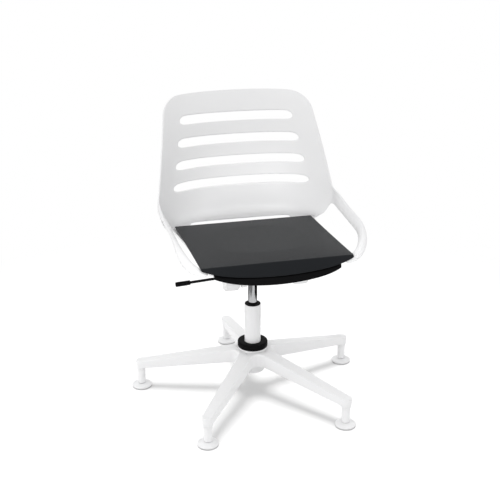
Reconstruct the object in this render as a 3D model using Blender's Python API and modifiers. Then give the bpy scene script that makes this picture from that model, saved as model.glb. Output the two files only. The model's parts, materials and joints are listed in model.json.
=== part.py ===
"""Task chair with a slotted one-piece shell, a gas lift and a five-arm base on glides.

Metres, +Z up, the front of the chair towards -Y. Every piece is drawn in chair
coordinates, with the column's axis on Z and the floor at zero, and hangs on an empty
that sits on the axis of its own joint. The root empty centres the footprint.
"""
import math

import bmesh
import bpy
from mathutils import Matrix, Vector
from mathutils.geometry import interpolate_bezier

# Gaps between neighbouring pieces
FIT = 0.0003                # pieces that rest on each other
PLAY = 0.0004               # a pin in the bore that turns on it
MERGE = 0.00001             # vertices closer than this are one

# Five-arm base
ARM_COUNT = 5
FOOT_CIRCLE = 0.3533        # radius on which the glides stand
ARM_TOP_HUB = 0.150         # height of an arm's top where it leaves the hub
ARM_TOP_TIP = 0.0925
ARM_DEPTH_HUB = 0.046
ARM_DEPTH_TIP = 0.0245
ARM_WIDTH_HUB = 0.043
ARM_WIDTH_TIP = 0.034
ARM_EDGE = 0.003            # chamfer along the arms
WEB_RADIUS = 0.030          # concave fillet between neighbouring arms
HUB_RADIUS = 0.045
HUB_RISE = 0.0027           # hub above the arms
HUB_HEIGHT = 0.080
HUB_CONE = 0.024            # height of the hub's coned foot
HUB_FOOT_RADIUS = 0.036
TIP_BOSS_DROP = 0.0025      # flat seat under an arm's tip
COLLAR_RADIUS = 0.0465
COLLAR_HEIGHT = 0.019
COLLAR_EDGE = 0.003

# Glides
STEM_RADIUS = 0.0125
STEM_FLARE = 0.003          # wider by this under the arm
STEM_FLARE_HEIGHT = 0.013
SPIGOT_RADIUS = 0.0055
SPIGOT_LENGTH = 0.017
FOOT_RADIUS = 0.0315
FOOT_RIM = 0.0045           # height of the disc's rim
FOOT_HEIGHT = 0.0097        # height of the disc at its socket
SOLE_THICKNESS = 0.003
SOLE_INSET = 0.001
BALL_RADIUS = 0.0048
BALL_LIFT = 0.0062          # ball's centre above the disc's underside
NECK_RADIUS = 0.0028
TILT_GAP = 0.0019           # room for the disc to tilt under the stem

# Gas lift
TUBE_RADIUS = 0.025
TUBE_WALL = 0.0025
TUBE_TOP = 0.295
TUBE_FLOOR = 0.004
TUBE_TAPER = 0.0013         # loss of radius down the cone in the hub
BUSH_RIM = 0.002
BUSH_RIM_INSET = 0.0008
BUSH_LENGTH = 0.060
CYLINDER_RADIUS = 0.014
CYLINDER_LENGTH = 0.255
CYLINDER_RISE = 0.003       # cylinder above its socket
CYLINDER_TAPER = 0.0008     # loss of radius up the cone in the carrier
CYLINDER_BORE = 0.011
CYLINDER_CAP = 0.024        # solid top end
CYLINDER_GLAND = 0.006      # solid bottom end
ROD_RADIUS = 0.005
ROD_REACH = 0.220           # rod above the tube's floor
PISTON_LENGTH = 0.010
SHOULDER_RADIUS = 0.011
SHOULDER_LENGTH = 0.004
BEARING_RADIUS = 0.014
BEARING_LENGTH = 0.008
CLIP_RADIUS = 0.0085
CLIP_LENGTH = 0.0016
GROOVE_DEPTH = 0.0008
ROD_TAIL = 0.004            # rod below its clip
BUTTON_RADIUS = 0.004
BUTTON_RISE = 0.0065        # button above the cylinder
BUTTON_LENGTH = 0.0155
BUTTON_TRAVEL = 0.0075      # depth left below the button

# Shell: seat plate, bend and back in one sheet
SHELL_WALL = 0.006
PLATE_TOP = 0.4955          # middle of the seat plate
PLATE_DISH = 0.0229         # rise of the plate at its sides
PLATE_HALF = 0.210
PLATE_TAPER = 0.010         # narrower by this at the front
PLATE_FLARE = 0.018         # wider by this at the bend
PLATE_REAR = 0.108
BEND_RADIUS = 0.060
BACK_FOOT = 0.1748          # face of the back above the bend, on the middle line
LUMBAR_DROP = 0.009         # from the loops to where the face stands furthest forward
BACK_SWEEP = 0.0764         # top behind the lumbar
WING_REACH = 0.0345         # forward curve of the back at its widest place
WING_CURL = 0.0855          # the same, for the curve that grows with the fourth power
WING_START = 0.6            # how early that curve starts in the bend
LOOP_RISE = 0.1095          # widest place of the back, above the plate
BACK_HALF = 0.2725
LIP_FULLNESS = 0.62         # how early the shell widens below the loops
TOP_BAND = 0.0722           # back above its last slot
BACK_TOP_HALF = 0.2320      # half-width where the top corners start
CORNER_RADIUS = 0.057
TOP_RISE = 0.003
SLOT_COUNT = 4
SLOT_RISE = 0.0349          # lowest slot above the loops
SLOT_PITCH = 0.0643
SLOT_HALF = 0.2131          # half-length of the lowest slot
SLOT_STEP = 0.0124          # each next slot is shorter by this
SLOT_HEIGHT = 0.025
SLOT_END = 0.022            # length of a slot's rounded end
GAP_HALF = 0.160            # gap between the plate and the back
GAP_RISE = 0.023            # its upper edge above the plate
GAP_CORNER = 0.012
LOOP_WIDTH = 0.023          # side loops
LOOP_DEPTH = 0.032
LOOP_ROOT_DEPTH = 0.052     # height of a loop where it leaves the back
LOOP_ROOT_LENGTH = 0.110    # how far forward it takes to slim down
LOOP_INSET = 0.0053         # middle of a loop inside the widest place of the back
LOOP_BEND = -0.165          # where a loop turns down
LOOP_DROP = 0.020           # fall from the back to there
LOOP_END_INSET = 0.016      # from the plate's edge, inwards
LOOP_END_BACK = 0.022       # from the plate's front, rearwards
LOOP_END_RISE = 0.002       # above the middle of the plate's wall
LOOP_END_WIDTH = 0.020
LOOP_END_DEPTH = 0.012

# Pad and its tray
TRAY_WALL = 0.0042
TRAY_HALF = 0.205
TRAY_REAR = 0.100
TRAY_NOTCH = 0.023          # narrower by this at the loops' ends
TRAY_NOTCH_LENGTH = 0.062
RIM_FRONT = -0.299
RIM_BEND = 0.012
RIM_DROP = 0.022
RIM_THIN = 0.0076           # loss of drop at the corners
RIM_RETREAT = 0.020         # rounding of the rim's corners, in plan
PAD_HALF = 0.216
PAD_REAR = 0.106
PAD_REAR_RISE = 0.0325      # top of the pad above the plate
PAD_CREASE = -0.276
PAD_CREASE_RISE = 0.0405
PAD_NOSE = 0.003            # nose behind the rim's face
PAD_CROWN = 0.0025
PAD_DRAW = 0.0015           # sides drawn in between the corners
PAD_CORNER = 0.013          # nose further back at the corners
PAD_CORNER_RISE = 0.006     # underside higher at the front corners

# Carrier, links and rails
CARRIER_HALF = 0.056
CHEEK = 0.008
CARRIER_FLOOR = 0.006
CARRIER_DEPTH = 0.050       # below the upper pivots
CARRIER_FRONT = -0.085
CARRIER_REAR = 0.066
SOCKET_RADIUS = 0.024
SOCKET_DROP = 0.012         # socket below the carrier
SOCKET_LENGTH = 0.042
PIN_RADIUS = 0.005
PIN_HEAD = 0.003            # head wider than its pin
PIN_HEAD_LENGTH = 0.0015
PIVOT_DROP = 0.0295         # upper link pins below the plate's top
LINK_LENGTH = 0.038
LINK_WIDTH = 0.015
LINK_EYE = 0.0125
FRONT_PIVOT = -0.146
REAR_PIVOT = 0.100
RAIL_INSIDE = 0.080
RAIL_WIDTH = 0.045
RAIL_PLATE = 0.005
RAIL_OVERHANG = 0.024       # plate past the pivots
RAIL_MARGIN = 0.001         # plate wider than its legs
RAIL_LEG = 0.012            # half-width of a leg
KNUCKLE_RADIUS = 0.0185
KNUCKLE_EDGE = 0.005
BOSS_HEIGHT = 0.0035        # shell's screw bosses below the plate
BOSS_RADIUS = 0.011
RAIL_SCREW_INSET = 0.042    # from the pivots
SCREW_RADIUS = 0.003
SCREW_HEAD = 0.003
SCREW_HEAD_LENGTH = 0.0035
SCREW_GRIP = 0.0085         # length in the boss
PAD_SCREWS = (-0.200, 0.060)
PAD_SCREW_RADIUS = 0.002
PAD_SCREW_GRIP = 0.003

# Height lever
LEVER_SIDE = -0.100         # line of the rod's outer end, towards the front
LEVER_PIVOT_FRONT = -0.095
LEVER_RISE = 0.018          # pivot above the carrier's underside
LEVER_TIP = -0.255
LEVER_FALL = 0.0095
LEVER_RADIUS = 0.004
LEVER_PIN_RADIUS = 0.0015
LEVER_PIN_LENGTH = 0.026
LEVER_WINDOW = 0.0012       # room round the rod in the carrier's wall
GRIP_RADIUS = 0.007
GRIP_LENGTH = 0.043
GRIP_SEAT = 0.030           # rod inside the grip
GRIP_EDGE = 0.001

# Finishes: colour, roughness, metallic
WHITE_MOULDING = ((0.80, 0.80, 0.81, 1.0), 0.45, 0.0)
WHITE_ENAMEL = ((0.86, 0.86, 0.87, 1.0), 0.35, 0.0)
BLACK_PLASTIC = ((0.012, 0.012, 0.013, 1.0), 0.5, 0.0)
BLACK_FABRIC = ((0.055, 0.057, 0.060, 1.0), 0.9, 0.0)
CHROME = ((0.62, 0.62, 0.63, 1.0), 0.12, 1.0)
STEEL = ((0.42, 0.42, 0.43, 1.0), 0.3, 1.0)
GREY_SOLE = ((0.25, 0.25, 0.26, 1.0), 0.8, 0.0)

# Facets
ROUND = 18
SMALL_ROUND = 12
LOOP_STEPS = 9
SMOOTH_ANGLE = math.radians(35)

# Places that follow from the sizes
HUB_TOP = ARM_TOP_HUB + HUB_RISE
HUB_BOTTOM = HUB_TOP - HUB_HEIGHT
TUBE_BOTTOM = HUB_BOTTOM + FIT
TIP_BOSS_BOTTOM = ARM_TOP_TIP - ARM_DEPTH_TIP - TIP_BOSS_DROP
FOOT_BOTTOM = SOLE_THICKNESS + FIT
BALL_HEIGHT = FOOT_BOTTOM + BALL_LIFT
STEM_BOTTOM = FOOT_BOTTOM + FOOT_HEIGHT + TILT_GAP
PLATE_BOTTOM = PLATE_TOP - SHELL_WALL
PIVOT_HEIGHT = PLATE_TOP - PIVOT_DROP
CARRIER_BOTTOM = PIVOT_HEIGHT - CARRIER_DEPTH
SOCKET_BOTTOM = CARRIER_BOTTOM - SOCKET_DROP
SOCKET_TOP = SOCKET_BOTTOM + SOCKET_LENGTH
CYLINDER_TOP = SOCKET_TOP + CYLINDER_RISE
BEND_TOP = PLATE_TOP + BEND_RADIUS
BEND_START = BACK_FOOT - BEND_RADIUS
GAP_TOP = PLATE_TOP + GAP_RISE
LOOP_HEIGHT = PLATE_TOP + LOOP_RISE
LOOP_HALF = BACK_HALF - LOOP_INSET
LUMBAR_HEIGHT = LOOP_HEIGHT - LUMBAR_DROP
SLOT_FIRST = LOOP_HEIGHT + SLOT_RISE
BACK_TOP = SLOT_FIRST + (SLOT_COUNT - 1) * SLOT_PITCH + TOP_BAND
SHELL_FRONT = RIM_FRONT + RIM_BEND + FIT
TRAY_TOP = PLATE_TOP + FIT + TRAY_WALL
PAD_BOTTOM = TRAY_TOP + 2 * FIT
RAIL_TOP = PLATE_BOTTOM - BOSS_HEIGHT - FIT
KNUCKLE_HEIGHT = PIVOT_HEIGHT - LINK_LENGTH
LINK_INSIDE = CARRIER_HALF + PIN_HEAD_LENGTH + 2 * FIT
LEVER_PIVOT = Vector((CHEEK / 2 - CARRIER_HALF, LEVER_PIVOT_FRONT, CARRIER_BOTTOM + LEVER_RISE))
LEVER_END = Vector((LEVER_TIP, LEVER_SIDE, LEVER_PIVOT.z - LEVER_FALL))
PRESS_HEIGHT = CYLINDER_TOP + BUTTON_RISE + FIT + LEVER_RADIUS
CENTRE_SHIFT = FOOT_CIRCLE * (math.cos(math.pi / ARM_COUNT) - 1) / 2


# Scene set-up

def clear_scene():
    for obj in list(bpy.data.objects):
        bpy.data.objects.remove(obj, do_unlink=True)


def new_collection(name):
    collection = bpy.data.collections.new(name)
    bpy.context.scene.collection.children.link(collection)
    return collection


def new_empty(name, place, parent=None):
    """An empty on a joint's axis, which carries the pieces of one moving body."""
    empty = bpy.data.objects.new(name, None)
    empty.empty_display_size = PAD_HALF / 4
    empty.location = place
    empty.parent = parent
    PARTS.objects.link(empty)
    return empty


def new_material(name, finish):
    colour, roughness, metallic = finish
    material = bpy.data.materials.new(name)
    material.use_nodes = True
    shader = material.node_tree.nodes["Principled BSDF"]
    shader.inputs["Base Color"].default_value = colour
    shader.inputs["Roughness"].default_value = roughness
    shader.inputs["Metallic"].default_value = metallic
    material.diffuse_color = colour
    return material


def keep(obj, body, finish):
    """Give a finished piece its material and hang it on its body, where it was drawn."""
    obj.data.materials.clear()
    obj.data.materials.append(new_material(obj.name, finish))
    obj.parent = body
    pivot = body.location if body.parent else Vector()
    obj.matrix_parent_inverse = Matrix.Translation(-pivot)
    return obj


def as_cutter(obj):
    """Move a helper solid to the cutters, where it shapes others but isn't a piece."""
    PARTS.objects.unlink(obj)
    CUTTERS.objects.link(obj)
    obj.hide_render = True
    obj.display_type = "WIRE"
    obj.parent = ROOT
    return obj


def combine(obj, tool, operation):
    modifier = obj.modifiers.new(tool.name, "BOOLEAN")
    modifier.operation = operation
    modifier.object = tool
    modifier.solver = "EXACT"
    return obj


# Shapes

def arc(centre, radius, start, end, count):
    """Points of an arc, both ends included, from start to end in radians."""
    steps = [start + (end - start) * i / (count - 1) for i in range(count)]
    return [(centre[0] + radius * math.cos(a), centre[1] + radius * math.sin(a)) for a in steps]


def circle(centre, radius, count=SMALL_ROUND):
    return arc(centre, radius, 0, 2 * math.pi * (count - 1) / count, count)


def blend(low, high, share):
    return low + (high - low) * share


def ease(share):
    """Zero to one, level at both ends."""
    share = min(max(share, 0.0), 1.0)
    return share * share * (3 - 2 * share)


def add_object(name, data):
    obj = bpy.data.objects.new(name, data)
    PARTS.objects.link(obj)
    return obj


def add_mesh(name, bm):
    mesh = bpy.data.meshes.new(name)
    bm.to_mesh(mesh)
    bm.free()
    return add_object(name, mesh)


def baked(obj):
    """Replace an object by the mesh that its curve or modifiers make."""
    name = obj.name
    place = obj.matrix_basis.copy()
    graph = bpy.context.evaluated_depsgraph_get()
    mesh = bpy.data.meshes.new_from_object(obj.evaluated_get(graph))
    bpy.data.objects.remove(obj, do_unlink=True)
    bm = bmesh.new()
    bm.from_mesh(mesh)
    bmesh.ops.remove_doubles(bm, verts=bm.verts, dist=MERGE)
    bm.to_mesh(mesh)
    bm.free()
    mesh.name = name
    mesh.shade_smooth()
    mesh.set_sharp_from_angle(angle=SMOOTH_ANGLE)
    solid = add_object(name, mesh)
    solid.matrix_basis = place
    return solid


def turned(name, profile, steps=ROUND, closed=False):
    """Turn a profile of (radius, height) points about Z. A ring's profile is closed."""
    bm = bmesh.new()
    verts = [bm.verts.new((radius, 0.0, height)) for radius, height in profile]
    ends = verts[1:] + verts[:1] if closed else verts[1:]
    for first, second in zip(verts, ends):
        bm.edges.new((first, second))
    obj = add_mesh(name, bm)
    screw = obj.modifiers.new("turn", "SCREW")
    screw.steps = steps
    screw.render_steps = steps
    screw.use_merge_vertices = True
    screw.merge_threshold = MERGE
    return baked(obj)


def plate(name, outlines, thickness, edge=0.0):
    """Flat piece in XY, centred on its thickness. Outlines after the first are holes."""
    data = bpy.data.curves.new(name, "CURVE")
    data.dimensions = "2D"
    data.fill_mode = "BOTH"
    data.extrude = thickness / 2 - edge
    data.bevel_depth = edge
    data.bevel_resolution = 0
    data.offset = -edge
    for outline in outlines:
        spline = data.splines.new("POLY")
        spline.points.add(len(outline) - 1)
        spline.use_cyclic_u = True
        for point, (x, y) in zip(spline.points, outline):
            point.co = (x, y, 0.0, 1.0)
    return baked(add_object(name, data))


def sheet(name, columns, rows, place, wall):
    """Curved sheet whose face is place(across, along), thickened away from that face."""
    bm = bmesh.new()
    bmesh.ops.create_grid(bm, x_segments=columns, y_segments=rows, size=1.0)
    for vert in bm.verts:
        vert.co = place(vert.co.x, (vert.co.y + 1) / 2)
    obj = add_mesh(name, bm)
    solidify = obj.modifiers.new("wall", "SOLIDIFY")
    solidify.thickness = wall
    solidify.offset = -1.0
    return baked(obj)


def tube(name, rings):
    """Solid through a row of closed rings of points, with flat ends."""
    bm = bmesh.new()
    loops = [[bm.verts.new(point) for point in ring] for ring in rings]
    for first, second in zip(loops, loops[1:]):
        for i in range(len(first)):
            bm.faces.new((first[i - 1], first[i], second[i], second[i - 1]))
    bm.faces.new(loops[0])
    bm.faces.new(loops[-1])
    bmesh.ops.recalc_face_normals(bm, faces=bm.faces)
    return baked(add_mesh(name, bm))


def join_cylinders(name, cylinders, steps=SMALL_ROUND):
    """One helper object that holds a cylinder for each (start, end, radius)."""
    bm = bmesh.new()
    for start, end, radius in cylinders:
        axis = Vector(end) - Vector(start)
        turn = axis.to_track_quat("Z", "Y").to_matrix().to_4x4()
        place = Matrix.Translation((Vector(start) + Vector(end)) / 2) @ turn
        bmesh.ops.create_cone(bm, cap_ends=True, segments=steps, radius1=radius, radius2=radius,
                              depth=axis.length, matrix=place)
    return add_mesh(name, bm)


def box(name, low, high):
    bm = bmesh.new()
    size = Vector(high) - Vector(low)
    place = Matrix.Translation((Vector(low) + Vector(high)) / 2)
    bmesh.ops.create_cube(bm, size=1.0, matrix=place @ Matrix.Diagonal((*size, 1.0)))
    return add_mesh(name, bm)


def across_x(obj, middle, mirrored=False):
    """Stand a flat piece upright in the plane of Y and Z, its thickness along X."""
    obj.matrix_basis = Matrix(((0, 0, 1, -middle if mirrored else middle),
                               (1, 0, 0, 0), (0, 1, 0, 0), (0, 0, 0, 1)))
    return obj


def along_x(obj, start, side):
    """Lay a turned piece along X from a point, outwards on that side."""
    obj.matrix_basis = Matrix.Translation(start) @ Matrix.Rotation(side * math.pi / 2, 4, "Y")
    return obj


# Base and glides

def arm_angle(index):
    return math.pi / 2 + index * 2 * math.pi / ARM_COUNT


def star_outline():
    """Arms with round tips, and a fillet in each corner between two arms."""
    half_turn = math.pi / ARM_COUNT
    tip = ARM_WIDTH_TIP / 2
    run = FOOT_CIRCLE - HUB_RADIUS
    taper = math.atan((ARM_WIDTH_HUB / 2 - tip) / run)
    root = tip / math.cos(taper) + FOOT_CIRCLE * math.tan(taper)
    reach = (WEB_RADIUS / math.cos(taper) + root) / (
        math.sin(half_turn) + math.cos(half_turn) * math.tan(taper))
    opening = math.pi / 2 - half_turn - taper
    outline = []
    for index in range(ARM_COUNT):
        angle = arm_angle(index)
        foot = (FOOT_CIRCLE * math.cos(angle), FOOT_CIRCLE * math.sin(angle))
        swing = math.pi / 2 - taper
        outline += arc(foot, tip, angle - swing, angle + swing, 7)
        middle = angle + half_turn
        corner = (reach * math.cos(middle), reach * math.sin(middle))
        back = middle + math.pi
        outline += arc(corner, WEB_RADIUS, back + opening, back - opening, 6)
    return outline


def shape_arms(obj):
    """Give the flat star its depth: arms slope from the hub and thin out to their tips."""
    for vert in obj.data.vertices:
        share = (vert.co.xy.length - HUB_RADIUS) / (FOOT_CIRCLE - HUB_RADIUS)
        share = min(max(share, 0.0), 1.0)
        depth = blend(ARM_DEPTH_HUB, ARM_DEPTH_TIP, share)
        top = blend(ARM_TOP_HUB, ARM_TOP_TIP, share)
        vert.co.z = top + depth * (vert.co.z / ARM_DEPTH_HUB - 0.5)


def foot_place(index, height=0.0):
    angle = arm_angle(index)
    return Vector((FOOT_CIRCLE * math.cos(angle), FOOT_CIRCLE * math.sin(angle), height))


def make_base(body):
    star = plate("base_star", [star_outline()], ARM_DEPTH_HUB, ARM_EDGE)
    shape_arms(star)
    hub = turned("hub_solid", [(0, HUB_TOP), (HUB_RADIUS, HUB_TOP), (HUB_RADIUS, HUB_BOTTOM + HUB_CONE),
                               (HUB_FOOT_RADIUS, HUB_BOTTOM), (0, HUB_BOTTOM)], ROUND + 4)
    combine(star, as_cutter(hub), "UNION")
    seats = [(foot_place(i, TIP_BOSS_BOTTOM), foot_place(i, ARM_TOP_TIP - ARM_EDGE),
              STEM_RADIUS + STEM_FLARE) for i in range(ARM_COUNT)]
    combine(star, as_cutter(join_cylinders("tip_seats", seats)), "UNION")
    top = HUB_TOP + HUB_RISE
    low = HUB_BOTTOM - HUB_RISE
    slope = TUBE_TAPER / HUB_HEIGHT
    wide = TUBE_RADIUS + FIT
    bore = turned("column_bore", [(0, top), (wide, top), (wide, HUB_TOP),
                                  (wide - TUBE_TAPER - slope * HUB_RISE, low), (0, low)])
    combine(star, as_cutter(bore), "DIFFERENCE")
    sockets = [(foot_place(i, TIP_BOSS_BOTTOM - TIP_BOSS_DROP),
                foot_place(i, TIP_BOSS_BOTTOM + SPIGOT_LENGTH + FIT),
                SPIGOT_RADIUS + PLAY) for i in range(ARM_COUNT)]
    combine(star, as_cutter(join_cylinders("stem_sockets", sockets)), "DIFFERENCE")
    keep(star, body, WHITE_ENAMEL)

    low = HUB_TOP + FIT
    high = low + COLLAR_HEIGHT
    inside = TUBE_RADIUS + FIT
    edge = COLLAR_RADIUS - COLLAR_EDGE
    collar = turned("hub_collar", [(inside, high), (edge, high), (COLLAR_RADIUS, high - COLLAR_EDGE),
                                   (COLLAR_RADIUS, low + COLLAR_EDGE), (edge, low), (inside, low)],
                    ROUND + 4, closed=True)
    keep(collar, body, BLACK_PLASTIC)


def make_glide(index, body, foot_body):
    """Stem with its ball stud, and the disc and sole that tilt on the ball."""
    number = str(index + 1)
    shoulder = TIP_BOSS_BOTTOM - FIT
    ball_start = math.acos(NECK_RADIUS / BALL_RADIUS)
    ball = arc((0, BALL_HEIGHT), BALL_RADIUS, ball_start, -math.pi / 2, 6)
    stem = turned("glide_stem_" + number, [
        (0, shoulder + SPIGOT_LENGTH), (SPIGOT_RADIUS, shoulder + SPIGOT_LENGTH),
        (SPIGOT_RADIUS, shoulder), (STEM_RADIUS + STEM_FLARE, shoulder),
        (STEM_RADIUS, shoulder - STEM_FLARE_HEIGHT), (STEM_RADIUS, STEM_BOTTOM),
        (NECK_RADIUS, STEM_BOTTOM)] + ball[:-1] + [(0, BALL_HEIGHT - BALL_RADIUS)], SMALL_ROUND)
    stem.location = foot_place(index)
    keep(stem, body, WHITE_ENAMEL)

    top = FOOT_BOTTOM + FOOT_HEIGHT
    cup_radius = BALL_RADIUS + PLAY
    lip = math.asin((top - BALL_HEIGHT) / cup_radius)
    cup = arc((0, BALL_HEIGHT), cup_radius, -math.pi / 2, lip, 6)
    foot = turned("glide_foot_" + number, [(0, BALL_HEIGHT - cup_radius)] + cup[1:] + [
        (STEM_RADIUS, top), (blend(STEM_RADIUS, FOOT_RADIUS, 0.8), blend(FOOT_BOTTOM + FOOT_RIM, top, 0.4)),
        (FOOT_RADIUS, FOOT_BOTTOM + FOOT_RIM), (FOOT_RADIUS, FOOT_BOTTOM), (0, FOOT_BOTTOM)], SMALL_ROUND + 2)
    foot.location = foot_place(index)
    keep(foot, foot_body, WHITE_ENAMEL)

    reach = FOOT_RADIUS - SOLE_INSET
    sole = turned("glide_sole_" + number, [(0, SOLE_THICKNESS), (reach, SOLE_THICKNESS), (reach, 0), (0, 0)],
                  SMALL_ROUND + 2)
    sole.location = foot_place(index)
    keep(sole, foot_body, GREY_SOLE)


# Gas lift

def make_column(base, rod_body):
    inside = TUBE_RADIUS - TUBE_WALL
    foot = TUBE_RADIUS - TUBE_TAPER
    floor = TUBE_BOTTOM + TUBE_FLOOR
    hole = ROD_RADIUS + PLAY
    tube = turned("column_tube", [
        (inside, TUBE_TOP), (TUBE_RADIUS, TUBE_TOP), (TUBE_RADIUS, HUB_TOP), (foot, TUBE_BOTTOM),
        (hole, TUBE_BOTTOM), (hole, floor), (foot - TUBE_WALL, floor), (inside, HUB_TOP)], ROUND, closed=True)
    keep(tube, base, WHITE_ENAMEL)

    rim = TUBE_RADIUS - BUSH_RIM_INSET
    seat = TUBE_TOP + FIT
    sleeve = inside - FIT
    guide = CYLINDER_RADIUS + PLAY
    bush = turned("guide_bush", [(guide, seat + BUSH_RIM), (rim, seat + BUSH_RIM), (rim, seat), (sleeve, seat),
                                 (sleeve, seat - BUSH_LENGTH), (guide, seat - BUSH_LENGTH)], ROUND, closed=True)
    keep(bush, base, BLACK_PLASTIC)

    bearing_low = floor + FIT
    bearing_high = bearing_low + BEARING_LENGTH
    bearing = turned("thrust_bearing", [(hole, bearing_high), (BEARING_RADIUS, bearing_high),
                                        (BEARING_RADIUS, bearing_low), (hole, bearing_low)],
                     SMALL_ROUND, closed=True)
    keep(bearing, base, STEEL)

    shoulder = bearing_high + FIT
    top = floor + ROD_REACH
    piston = CYLINDER_BORE - PLAY
    clip_high = TUBE_BOTTOM - FIT
    clip_low = clip_high - CLIP_LENGTH
    groove = ROD_RADIUS - GROOVE_DEPTH
    rod = turned("piston_rod", [
        (0, top), (piston, top), (piston, top - PISTON_LENGTH), (ROD_RADIUS, top - PISTON_LENGTH),
        (ROD_RADIUS, shoulder + SHOULDER_LENGTH), (SHOULDER_RADIUS, shoulder + SHOULDER_LENGTH),
        (SHOULDER_RADIUS, shoulder), (ROD_RADIUS, shoulder), (ROD_RADIUS, clip_high + FIT / 2),
        (groove, clip_high + FIT / 2), (groove, clip_low - FIT), (ROD_RADIUS, clip_low - FIT),
        (ROD_RADIUS, clip_low - ROD_TAIL), (0, clip_low - ROD_TAIL)], SMALL_ROUND)
    keep(rod, rod_body, STEEL)
    clip = turned("rod_clip", [(groove + FIT, clip_high), (CLIP_RADIUS, clip_high), (CLIP_RADIUS, clip_low),
                               (groove + FIT, clip_low)], SMALL_ROUND, closed=True)
    keep(clip, rod_body, STEEL)


def make_cylinder(lift, button_body):
    low = CYLINDER_TOP - CYLINDER_LENGTH
    gland = ROD_RADIUS + PLAY
    well = BUTTON_RADIUS + PLAY
    button_top = CYLINDER_TOP + BUTTON_RISE
    button_low = button_top - BUTTON_LENGTH
    tip = CYLINDER_RADIUS - CYLINDER_TAPER
    cylinder = turned("gas_cylinder", [
        (0, button_low - BUTTON_TRAVEL), (well, button_low - BUTTON_TRAVEL), (well, CYLINDER_TOP),
        (tip, CYLINDER_TOP), (CYLINDER_RADIUS, SOCKET_BOTTOM), (CYLINDER_RADIUS, low), (gland, low),
        (gland, low + CYLINDER_GLAND), (CYLINDER_BORE, low + CYLINDER_GLAND),
        (CYLINDER_BORE, CYLINDER_TOP - CYLINDER_CAP), (0, CYLINDER_TOP - CYLINDER_CAP)])
    keep(cylinder, lift, CHROME)
    button = turned("release_button", [(0, button_top), (BUTTON_RADIUS, button_top),
                                       (BUTTON_RADIUS, button_low), (0, button_low)], SMALL_ROUND)
    keep(button, button_body, STEEL)


# Carrier and lever

def carrier_outline():
    """Side view: a tray with an ear round each upper pivot."""
    ears = [(FRONT_PIVOT, PIVOT_HEIGHT), (REAR_PIVOT, PIVOT_HEIGHT)]
    front = arc(ears[0], LINK_EYE, math.pi / 2, math.pi * 1.25, 7)
    rear = arc(ears[1], LINK_EYE, -math.pi / 4, math.pi / 2, 7)
    return front + [(CARRIER_FRONT, CARRIER_BOTTOM), (CARRIER_REAR, CARRIER_BOTTOM)] + rear


def make_carrier(lift):
    carrier = across_x(plate("carrier", [carrier_outline()], 2 * CARRIER_HALF), 0.0)
    inside = CARRIER_HALF - CHEEK
    floor = CARRIER_BOTTOM + CARRIER_FLOOR
    reach = 2 * LINK_EYE
    hollow = box("carrier_hollow", (-inside, FRONT_PIVOT - reach, floor),
                 (inside, REAR_PIVOT + reach, PIVOT_HEIGHT + reach))
    combine(carrier, as_cutter(hollow), "DIFFERENCE")
    socket = turned("socket_solid", [(0, SOCKET_TOP), (SOCKET_RADIUS, SOCKET_TOP),
                                     (SOCKET_RADIUS, SOCKET_BOTTOM), (0, SOCKET_BOTTOM)])
    combine(carrier, as_cutter(socket), "UNION")
    slope = CYLINDER_TAPER / (CYLINDER_TOP - SOCKET_BOTTOM)
    wide = CYLINDER_RADIUS + FIT
    past = CARRIER_FLOOR
    top = CYLINDER_TOP + past
    cone = turned("cylinder_bore", [(0, top), (wide - CYLINDER_TAPER - slope * past, top), (wide, SOCKET_BOTTOM),
                                    (wide, SOCKET_BOTTOM - past), (0, SOCKET_BOTTOM - past)])
    combine(carrier, as_cutter(cone), "DIFFERENCE")
    outside = CARRIER_HALF + CHEEK
    bores = [((-outside, y, PIVOT_HEIGHT), (outside, y, PIVOT_HEIGHT), PIN_RADIUS + PLAY)
             for y in (FRONT_PIVOT, REAR_PIVOT)]
    half = LEVER_PIN_LENGTH / 2 + FIT
    side = Vector((0, half, 0))
    bores.append((LEVER_PIVOT - side, LEVER_PIVOT + side, LEVER_PIN_RADIUS + PLAY))
    combine(carrier, as_cutter(join_cylinders("pivot_bores", bores)), "DIFFERENCE")
    room = LEVER_RADIUS + LEVER_WINDOW
    window = box("lever_window", LEVER_PIVOT - Vector((CHEEK, room, room)),
                 LEVER_PIVOT + Vector((CHEEK, room, room)))
    combine(carrier, as_cutter(window), "DIFFERENCE")
    keep(carrier, lift, BLACK_PLASTIC)


def lever_path():
    """From over the button, down through the carrier's wall and straight out to the grip."""
    press = Vector((0, 0, PRESS_HEIGHT))
    outward = (LEVER_END - LEVER_PIVOT).normalized()
    seat = LEVER_END + outward * (GRIP_SEAT - GRIP_LENGTH)
    inner = LEVER_PIVOT - outward * 2 * CHEEK
    rear = press + Vector((0, LEVER_RADIUS, 0))
    rise = Vector((0, LEVER_PIVOT_FRONT / 3, PRESS_HEIGHT))
    return [rear, press, rise, blend(rise, inner, 0.35), blend(rise, inner, 0.8), inner, LEVER_PIVOT, seat]


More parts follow.
